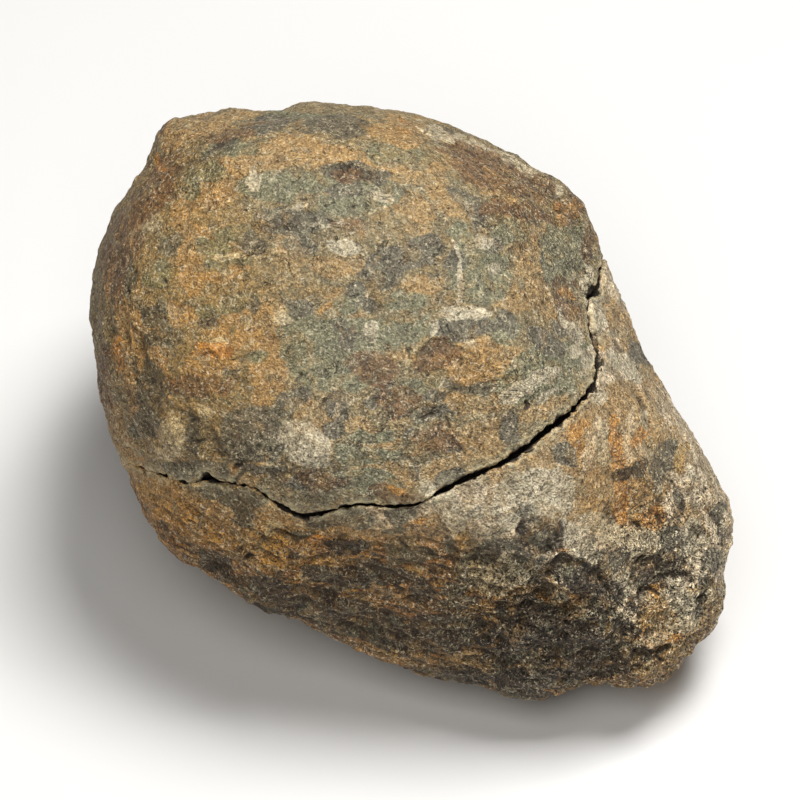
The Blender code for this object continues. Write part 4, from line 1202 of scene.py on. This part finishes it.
def paint(piece, node, other):
    """Writes all that the material has to know to the mesh."""
    mesh = piece.data
    points = places(mesh)
    normals = directions(mesh)
    face = face_coordinates(points)
    seen = on_map(face)
    marks = warped(seen, face)
    front = seen_share(face, normals)
    behind = 1 - front
    paint_tones(mesh, node, face, marks, front)
    set_attribute(mesh, "fine hollow", hollows(mesh, points, normals, FINE_PASSES))
    set_attribute(mesh, "broad hollow", hollows(mesh, points, normals, BROAD_PASSES))
    wall = on_wall(points, normals, across_crack(points, TREES[other]))
    lips = lip_distance(mesh, wall, points)
    set_attribute(mesh, "wall", np.where(wall, smooth_step(0.0, WALL_RIM, lips), 0.0))
    set_attribute(mesh, "lip", np.where(wall, 0.0, np.exp(-lips / LIP_REACH)))
    flank = smooth_step(*BEHIND_FADE, lumps(face, *FLANK_LUMPS)) * behind
    set_attribute(mesh, "flank", flank_share(marks) * front + flank)
    set_attribute(mesh, "slit", cut(seen, SLITS[node]) * front)
    set_attribute(mesh, "rough", rough_share(node, seen, front))
    warmth = smooth_step(*BEHIND_FADE, lumps(face, *WARM_LUMPS)) * behind
    warmth += strongest(seen, WARM_AREAS[node], WARM_SOFTNESS) * front
    set_attribute(mesh, "warm", warmth)
    print(piece.name, "has", len(mesh.attributes), "attributes")


paint(upper_stone, "upper_half", "lower_half")
paint(lower_stone, "lower_half", "upper_half")

# %% [markdown]
# ## Material nodes, the short way
# The stone's material is procedural: noises, thresholds and mixes, wired up in code. A small
# class gives each sort of node one short call, so that the recipe below reads as a recipe.
# All patterns use Object coordinates in millimetres, so they stay put on the stone. A grain
# below is named by its lump size in mm, its detail and how far it is bent.

# %% Node helpers
NOISE_ROUGHNESS = 0.6
STROKE_PLACES = (0.50, 0.60)


class Sheet:
    """A material's node tree, with short calls for the nodes that stone needs."""

    def __init__(self, name):
        self.material = bpy.data.materials.new(name)
        self.material.use_nodes = True
        self.nodes = self.material.node_tree.nodes
        self.links = self.material.node_tree.links
        self.shader = self.nodes["Principled BSDF"]
        self.place = self.nodes.new("ShaderNodeTexCoord").outputs["Object"]

    def feed(self, socket, value):
        """Links or sets an input."""
        if isinstance(value, bpy.types.NodeSocket):
            self.links.new(value, socket)
        else:
            socket.default_value = value

    def math(self, operation, first, second=0.0, third=0.0):
        """A math node's result."""
        node = self.nodes.new("ShaderNodeMath")
        node.operation = operation
        for socket, value in zip(node.inputs, (first, second, third)):
            self.feed(socket, value)
        return node.outputs[0]

    def step(self, low, high, value):
        """An S curve from 0 at low to 1 at high; it falls where high is below low."""
        node = self.nodes.new("ShaderNodeMapRange")
        node.interpolation_type = "SMOOTHSTEP"
        node.inputs["To Min"].default_value = 0.0 if low < high else 1.0
        node.inputs["To Max"].default_value = 1.0 if low < high else 0.0
        node.inputs["From Min"].default_value = min(low, high)
        node.inputs["From Max"].default_value = max(low, high)
        self.feed(node.inputs["Value"], value)
        return node.outputs[0]

    def scaled(self, size, facing):
        """Object coordinates in units of a size in mm, the third axis along a direction."""
        node = self.nodes.new("ShaderNodeMapping")
        node.vector_type = "TEXTURE"
        turn = Vector(facing).to_track_quat("Z", "Y").to_euler()
        node.inputs["Rotation"].default_value = turn
        node.inputs["Scale"].default_value = [side * MM for side in size]
        self.links.new(self.place, node.inputs["Vector"])
        return node.outputs[0]

    def grain(self, size, detail, bent=0.0, facing=(0, 0, 1)):
        """Noise from 0 to 1 whose lumps have a size in mm."""
        sides = size if isinstance(size, tuple) else (size, size, size)
        node = self.nodes.new("ShaderNodeTexNoise")
        node.inputs["Scale"].default_value = 1.0
        node.inputs["Detail"].default_value = detail
        node.inputs["Roughness"].default_value = NOISE_ROUGHNESS
        node.inputs["Distortion"].default_value = bent
        self.links.new(self.scaled(sides, facing), node.inputs["Vector"])
        return node.outputs["Fac"]

    def around(self, noise, reach):
        """A noise stretched and moved so that it swings evenly about zero."""
        return self.math("MULTIPLY_ADD", noise, reach, -reach / 2)

    def strokes(self, noise, width, places):
        """Thin lines where a noise crosses its middle, kept only in some places."""
        off = self.math("ABSOLUTE", self.math("SUBTRACT", noise, 0.5))
        return self.math("MULTIPLY", self.step(width, 0.0, off), self.step(*STROKE_PLACES, places))

    def attribute(self, name):
        """A painted attribute's value."""
        node = self.nodes.new("ShaderNodeAttribute")
        node.attribute_name = name
        return node.outputs["Fac"]

    def mix(self, share, under, over, blend="MIX"):
        """Two colours mixed by a share."""
        node = self.nodes.new("ShaderNodeMix")
        node.data_type = "RGBA"
        node.blend_type = blend
        self.feed(node.inputs[0], share)
        self.feed(node.inputs[6], under)
        self.feed(node.inputs[7], over)
        return node.outputs[2]

    def cover(self, colour, over, mask, share=1.0):
        """A colour with another laid over it where a mask is set."""
        return self.mix(self.math("MULTIPLY", mask, share), colour, over)

    def tint(self, colour, by, mask):
        """A colour multiplied by another where a mask is set."""
        return self.mix(mask, colour, by, "MULTIPLY")

    def grey(self, value):
        """A grey colour from a number."""
        node = self.nodes.new("ShaderNodeCombineColor")
        for socket in node.inputs[:3]:
            self.links.new(value, socket)
        return node.outputs[0]


print("Noise sizes are given in mm; 1 mm is", MM, "in Blender's metres")

# %% [markdown]
# ## Ground colours and stains
# Every tone has a light and a dark version, and wanders between them. Where a painted tone
# and a ragged noise together pass a threshold, that tone covers what lies under it. So the
# painted ovals come out as patches with broken rims.

# %% Tones
TONES = {
    "ground": ((0.29, 0.215, 0.108, 1), (0.17, 0.138, 0.078, 1)),
    "under": ((0.30, 0.168, 0.064, 1), (0.085, 0.050, 0.022, 1)),
    # The underside's tone: browner stone, made darker as painted shade where it faces down.
    "flank": ((0.65, 0.52, 0.35, 1), (0.31, 0.235, 0.14, 1)),
    "olive": ((0.215, 0.205, 0.122, 1), (0.150, 0.145, 0.092, 1)),
    "tan": ((0.375, 0.250, 0.112, 1), (0.285, 0.182, 0.080, 1)),
    "ochre": ((0.46, 0.29, 0.10, 1), (0.29, 0.17, 0.055, 1)),
    "brown": ((0.21, 0.12, 0.057, 1), (0.11, 0.066, 0.036, 1)),
    "slate": ((0.160, 0.142, 0.100, 1), (0.095, 0.083, 0.060, 1)),
    "pale": ((0.56, 0.49, 0.345, 1), (0.37, 0.31, 0.205, 1)),
    "rust": ((0.50, 0.24, 0.045, 1), (0.29, 0.13, 0.032, 1)),
    "black": ((0.088, 0.065, 0.043, 1), (0.027, 0.021, 0.015, 1)),
}
COVER = {
    "tan": 0.88, "olive": 0.95, "slate": 0.92, "brown": 0.85, "ochre": 0.8, "pale": 0.85,
    "rust": 0.75, "black": 0.95,
}
WARM_TINT = (1.06, 0.87, 0.57, 1)
RAGGED = {"upper_half": (0.42, 0.74), "lower_half": (0.48, 0.66)}
BEDS_IN_WORLD = TURN @ BEDS_FACING
FLANK_RUN = TURN @ np.array([0.45, -0.80, -0.10])
BED_STREAK = (2.6, 2.6, 0.30)
FLANK_STREAK = (0.8, 0.8, 3.6)
BED_BLEND = (0.40, 0.60)
TONE_BLEND = (0.38, 0.62)
PATCH_GRAIN = (0.9, 5.0, 1.0)
STAIN_GAIN = 1.7
BLOT_PUSH = 1.2
GRIT_PUSH = 0.4


def two_tone(sheet, tone, patches):
    """A tone that wanders between its light and dark version."""
    light, dark = TONES[tone]
    return sheet.mix(patches, dark, light)


def ground(sheet, node, patches):
    """The colour under all stains: streaked beds below, runs down the flank. The dark tone below is
    partly painted shade.
    """
    if node == "upper_half":
        return two_tone(sheet, "ground", patches)
    beds = sheet.grain(BED_STREAK, 4.0, 0.6, BEDS_IN_WORLD)
    under = two_tone(sheet, "under", sheet.step(*BED_BLEND, beds))
    runs = sheet.grain(FLANK_STREAK, 4.0, 0.8, FLANK_RUN)
    flank = two_tone(sheet, "flank", sheet.step(*TONE_BLEND, runs))
    return sheet.mix(sheet.attribute("flank"), under, flank)


def stained(sheet, node, blots, grit):
    """The ground with all of its stains."""
    patches = sheet.step(*TONE_BLEND, sheet.grain(*PATCH_GRAIN))
    push = sheet.around(blots, BLOT_PUSH)
    push = sheet.math("ADD", push, sheet.around(grit, GRIT_PUSH))
    colour = ground(sheet, node, patches)
    for tone in STAINS[node]:
        reach = sheet.math("MULTIPLY_ADD", sheet.attribute(tone), STAIN_GAIN, push)
        mask = sheet.step(*RAGGED[node], reach)
        colour = sheet.cover(colour, two_tone(sheet, tone, patches), mask, COVER[tone])
    return sheet.tint(colour, WARM_TINT, sheet.attribute("warm"))


print("Tones:", ", ".join(TONES))

# %% [markdown]
# ## Mottles, specks and hairlines
# Close up, no patch is even. Small mottles of four colours lie everywhere; rough skin has
# pale and dark specks, each about the size of a grain of sand, the pale ones partly painted
# glints; and thin pale veins and dark hair cracks wander where a noise crosses its middle value.

# %% Speckle
MOTTLES = (
    (2.6, 0.53, (0.38, 0.22, 0.07, 1), 0.30, (0.6, 0.2, 0.5)),
    (2.2, 0.53, (0.20, 0.19, 0.12, 1), 0.35, (-0.4, 0.7, 0.4)),
    (1.7, 0.57, (0.10, 0.066, 0.038, 1), 0.35, (0.1, -0.8, 0.6)),
    (1.2, 0.60, (0.50, 0.43, 0.28, 1), 0.30, (0.9, 0.5, -0.2)),
)
MOTTLE_RIM = 0.07
MOTTLE_DETAIL = 5.0
MOTTLE_BEND = 0.8
MOTTLE_LEAST = 0.65
MOTTLE_GAIN = 0.3
SPECK_GRAIN = (0.30, 1.0, 0.8)
# Pale speck colour, partly painted glints; the veins use it too.
SALT_COLOUR = (0.66, 0.56, 0.38, 1)
SALT_SHARE = 0.46
SALT_STEP = (0.59, 0.67)
SALT_LOST_ON_BLACK = 0.6
PEPPER_COLOUR = (0.035, 0.026, 0.018, 1)
PEPPER_SHARE = 0.6
PEPPER_STEP = (0.41, 0.33)
VEIN_GRAIN = (1.7, 3.0, 1.2)
VEIN_PLACES = (1.1, 2.0)
VEIN_WIDTH = 0.022
VEIN_SHARE = 0.5
CRACK_SHARE = 0.6


def speckled(sheet, colour, rough, cracks):
    """The colour with mottles, specks, veins and hair cracks."""
    strength = sheet.math("MULTIPLY_ADD", rough, MOTTLE_GAIN, MOTTLE_LEAST)
    for size, start, tone, share, facing in MOTTLES:
        mottle = sheet.grain(size, MOTTLE_DETAIL, MOTTLE_BEND, facing)
        spots = sheet.step(start, start + MOTTLE_RIM, mottle)
        spots = sheet.math("MULTIPLY", spots, strength)
        colour = sheet.cover(colour, tone, spots, share)
    specks = sheet.grain(*SPECK_GRAIN)
    pepper = sheet.math("MULTIPLY", sheet.step(*PEPPER_STEP, specks), rough)
    # Pale specks: partly pale grains, partly painted glints.
    salt_and_glints = sheet.math("MULTIPLY", sheet.step(*SALT_STEP, specks), rough)
    kept = sheet.math("MULTIPLY_ADD", sheet.attribute("black"), -SALT_LOST_ON_BLACK, 1.0)
    salt_and_glints = sheet.math("MULTIPLY", salt_and_glints, kept)
    colour = sheet.cover(colour, PEPPER_COLOUR, pepper, PEPPER_SHARE)
    colour = sheet.cover(colour, SALT_COLOUR, salt_and_glints, SALT_SHARE)
    veins = sheet.grain(*VEIN_GRAIN)
    veins = sheet.strokes(veins, VEIN_WIDTH, sheet.grain(*VEIN_PLACES))
    colour = sheet.cover(colour, SALT_COLOUR, veins, VEIN_SHARE)
    return sheet.cover(colour, PEPPER_COLOUR, cracks, CRACK_SHARE)


print("Mottles from", MOTTLES[0][0], "down to", MOTTLES[-1][0], "mm")

# %% [markdown]
# ## Painted shade and highlights
# Hollows are painted dark as shade, and raised spots are painted pale as a highlight. The
# hollows were measured on the mesh, so this painted light follows the real relief. The crack's
# lips are pale broken stone with a painted highlight, and its walls and the slits are painted
# dark as shade. Last, the grain makes the colour lighter and darker, partly as painted shade
# of the fine relief.

# %% Wear
# Painted shade colour for hollows, and painted highlight tint for raised spots.
HOLLOW_SHADE_COLOUR = (0.05, 0.036, 0.023, 1)
PROUD_HIGHLIGHT_TINT = (1.28, 1.27, 1.24, 1)
# Pale lip colour: broken stone, and a painted highlight along the crack's edges.
LIP_PALE_AND_HIGHLIGHT_COLOUR = (0.46, 0.40, 0.25, 1)
LIP_SHARE = 0.8
LIP_BREAKS = (0.44, 0.54)
# Painted shade colour for the crack's walls and the slits.
WALL_SHADE_COLOUR = (0.050, 0.038, 0.027, 1)
PIT_SHADE = (0.0, 0.07)
PIT_SHADE_SHARE = 0.35
DELL_SHADE = (0.0, 0.22)
DELL_SHADE_SHARE = 0.6
PROUD_SHADE = (-0.004, -0.05)
DARK_STEP = (0.05, 0.6)
FINE_STEP = (0.25, 0.75)
GRIT_STEP = (0.3, 0.7)
GRIT_SHADE = 0.4
SWING_GAIN = 0.7
SWING_LEAST = 0.27


def worn(sheet, colour, blots):
    """The colour with pale lips that are partly a painted highlight, painted shade in hollows and
    on the crack walls and slits, and a painted highlight on heights.
    """
    # The pale lips are partly paler broken stone and partly a painted highlight along the edge.
    lip = sheet.math("MULTIPLY", sheet.attribute("lip"), sheet.step(*LIP_BREAKS, blots))
    colour = sheet.cover(colour, LIP_PALE_AND_HIGHLIGHT_COLOUR, lip, LIP_SHARE)
    fine = sheet.attribute("fine hollow")
    pits = sheet.math("MULTIPLY", sheet.step(*PIT_SHADE, fine), PIT_SHADE_SHARE)
    broad = sheet.attribute("broad hollow")
    dells = sheet.math("MULTIPLY", sheet.step(*DELL_SHADE, broad), DELL_SHADE_SHARE)
    # Painted shade: pits and dells are darkened towards a near-black brown.
    colour = sheet.cover(colour, HOLLOW_SHADE_COLOUR, sheet.math("MAXIMUM", pits, dells))
    # Painted highlight: raised spots are made paler.
    proud = sheet.step(*PROUD_SHADE, fine)
    colour = sheet.tint(colour, PROUD_HIGHLIGHT_TINT, proud)
    # Painted shade: the crack's walls and the slits are darkened almost to black.
    dark = sheet.math("MAXIMUM", sheet.attribute("wall"), sheet.attribute("slit"))
    return sheet.cover(colour, WALL_SHADE_COLOUR, sheet.step(*DARK_STEP, dark))


def shaded(sheet, colour, rough, fine, grit):
    """The colour made lighter and darker by its grain, more so where the skin is rough; since the
    same noises raise the bump, this is partly painted shade of the fine relief.
    """
    # Painted shade and highlight of the grain: low grains darker, high grains paler.
    tooth = sheet.around(sheet.step(*FINE_STEP, fine), 1.0)
    coarse = sheet.around(sheet.step(*GRIT_STEP, grit), GRIT_SHADE)
    tooth = sheet.math("ADD", tooth, coarse)
    swing = sheet.math("MULTIPLY_ADD", rough, SWING_GAIN, SWING_LEAST)
    shade = sheet.math("MULTIPLY_ADD", tooth, swing, 1.0)
    return sheet.tint(colour, sheet.grey(shade), 1.0)


# Pits get painted shade: shallow ones partly, deeper ones fully.
print("Pits shallower than", PIT_SHADE[1], "mm are partly dirty, deeper ones fully")

# %% [markdown]
# ## The whole material
# The layers come together here. The same noises that colour the grain also drive the bump,
# so dark grains are low ones: painted shade on the fine relief. The bump only does what is
# finer than the mesh; every ledge, knob and pit is real geometry.

# %% Stone material
BUMP_HEIGHT = 0.20 * MM
FINE_GRAIN = (0.20, 1.0, 0.5)
GRIT_GRAIN = (0.48, 3.0, 0.8)
BLOT_GRAIN = (1.6, 5.0, 0.6)
GRIT_HEIGHT = 1.5
HAIR_GRAIN = (2.3, 4.0, 0.9)
HAIR_PLACES = (1.3, 2.0)
HAIR_WIDTH = 0.014
STONE_SPECULAR = 0.3
SMOOTH_STONE = 0.75
ROUGH_SHINE = 0.12
ROUGH_GAIN = 1.2
ROUGH_LEAST = 0.15


def stone_material(name, node):
    """Mottled, gritty stone for one half."""
    sheet = Sheet(name)
    rough = sheet.math("MULTIPLY_ADD", sheet.attribute("rough"), ROUGH_GAIN, ROUGH_LEAST)
    fine = sheet.grain(*FINE_GRAIN)
    grit = sheet.grain(*GRIT_GRAIN)
    blots = sheet.grain(*BLOT_GRAIN)
    cracks = sheet.grain(*HAIR_GRAIN)
    cracks = sheet.strokes(cracks, HAIR_WIDTH, sheet.grain(*HAIR_PLACES))
    colour = stained(sheet, node, blots, grit)
    colour = speckled(sheet, colour, rough, cracks)
    colour = shaded(sheet, colour, rough, fine, grit)
    colour = worn(sheet, colour, blots)
    sheet.feed(sheet.shader.inputs["Base Color"], colour)
    polish = sheet.math("MULTIPLY_ADD", rough, -ROUGH_SHINE, SMOOTH_STONE)
    sheet.feed(sheet.shader.inputs["Roughness"], polish)
    sheet.feed(sheet.shader.inputs["Specular IOR Level"], STONE_SPECULAR)
    height = sheet.math("SUBTRACT", sheet.math("MULTIPLY_ADD", grit, GRIT_HEIGHT, fine), cracks)
    bump = sheet.nodes.new("ShaderNodeBump")
    bump.inputs["Distance"].default_value = BUMP_HEIGHT
    sheet.feed(bump.inputs["Height"], sheet.math("MULTIPLY", height, rough))
    sheet.feed(sheet.shader.inputs["Normal"], bump.outputs["Normal"])
    print(name, "material has", len(sheet.nodes), "nodes")
    return sheet.material


# %% [markdown]
# ## Finish the halves
# Each dressed half takes its CAD solid's place in the frame, and its material is named after
# its slot.

# %% Finish and attach
def finish_half(piece, node, slot):
    """Gives a half its material and its place in the frame."""
    piece.data.materials.clear()
    piece.data.materials.append(stone_material(slot, node))
    piece.data.shade_smooth()
    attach(piece, "root")
    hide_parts(node)


finish_half(upper_stone, "upper_half", "upper_stone")
finish_half(lower_stone, "lower_half", "lower_stone")
print("Halves finished")

# %% [markdown]
# ## The floor
# The stone lies on a plain pale floor. It belongs to the studio and not to the stone.

# %% Floor
FLOOR_COLOUR = (0.74, 0.73, 0.71, 1)
FLOOR_ROUGHNESS = 0.8
FLOOR_HALF = 2.0


def make_floor():
    """A large pale floor under the stone."""
    sheet = Sheet("floor")
    sheet.shader.inputs["Base Color"].default_value = FLOOR_COLOUR
    sheet.shader.inputs["Roughness"].default_value = FLOOR_ROUGHNESS
    grid = bmesh.new()
    bmesh.ops.create_grid(grid, x_segments=1, y_segments=1, size=FLOOR_HALF)
    mesh = bpy.data.meshes.new("floor")
    grid.to_mesh(mesh)
    grid.free()
    floor = add_piece("floor", mesh)
    mesh.materials.append(sheet.material)


make_floor()
print("The floor is", 2 * FLOOR_HALF, "m wide")

# %% [markdown]
# ## Lights
# One soft light stands above right and a weaker one in front. Both are placed on the face
# map's axes, in mm, and aimed at the middle of the stone. A little grey light from all
# round keeps the shadows from going black.

# %% Lights
KEY_LIGHT = {"place": (120, 350, 350), "size": 0.2, "power": 3.2}
FILL_LIGHT = {"place": (-60, 60, 500), "size": 0.3, "power": 1.2}
WORLD_GREY = 0.03


def area_light(name, place, size, power):
    """A soft square light, placed in face coordinates in mm, aimed at the stone."""
    data = bpy.data.lights.new(name, "AREA")
    data.size = size
    data.energy = power
    lamp = bpy.data.objects.new(name, data)
    bpy.context.scene.collection.objects.link(lamp)
    here = FACE_TO_REST @ Vector([value * MM for value in place])
    middle = FACE_TO_REST @ Vector((0, 0, 0))
    aim = (middle - here).to_track_quat("-Z", "Y").to_matrix().to_4x4()
    lamp.matrix_world = Matrix.Translation(here) @ aim


area_light("key", **KEY_LIGHT)
area_light("fill", **FILL_LIGHT)
world = bpy.data.worlds.new("studio")
bpy.context.scene.world = world
world.use_nodes = True
backdrop = world.node_tree.nodes["Background"]
backdrop.inputs["Color"].default_value = (WORLD_GREY, WORLD_GREY, WORLD_GREY, 1)
print("Key light:", KEY_LIGHT["power"], "W, fill light:", FILL_LIGHT["power"], "W")

# %% [markdown]
# ## Camera
# The camera stands where the face map's eye is, half a metre in front of the broad face,
# with a long lens. So the stone is seen almost without perspective.

# %% Camera
SENSOR_WIDTH = 36
LENS = 234.375
camera_data = bpy.data.cameras.new("camera")
camera_data.sensor_width = SENSOR_WIDTH
camera_data.lens = LENS
camera = bpy.data.objects.new("camera", camera_data)
bpy.context.scene.collection.objects.link(camera)
camera.matrix_world = FACE_TO_REST @ Matrix.Translation(Vector(EYE) * MM)
bpy.context.scene.camera = camera
bpy.context.scene.view_settings.view_transform = "Standard"
print("Camera", round(EYE[2]), "mm in front, lens", LENS, "mm")
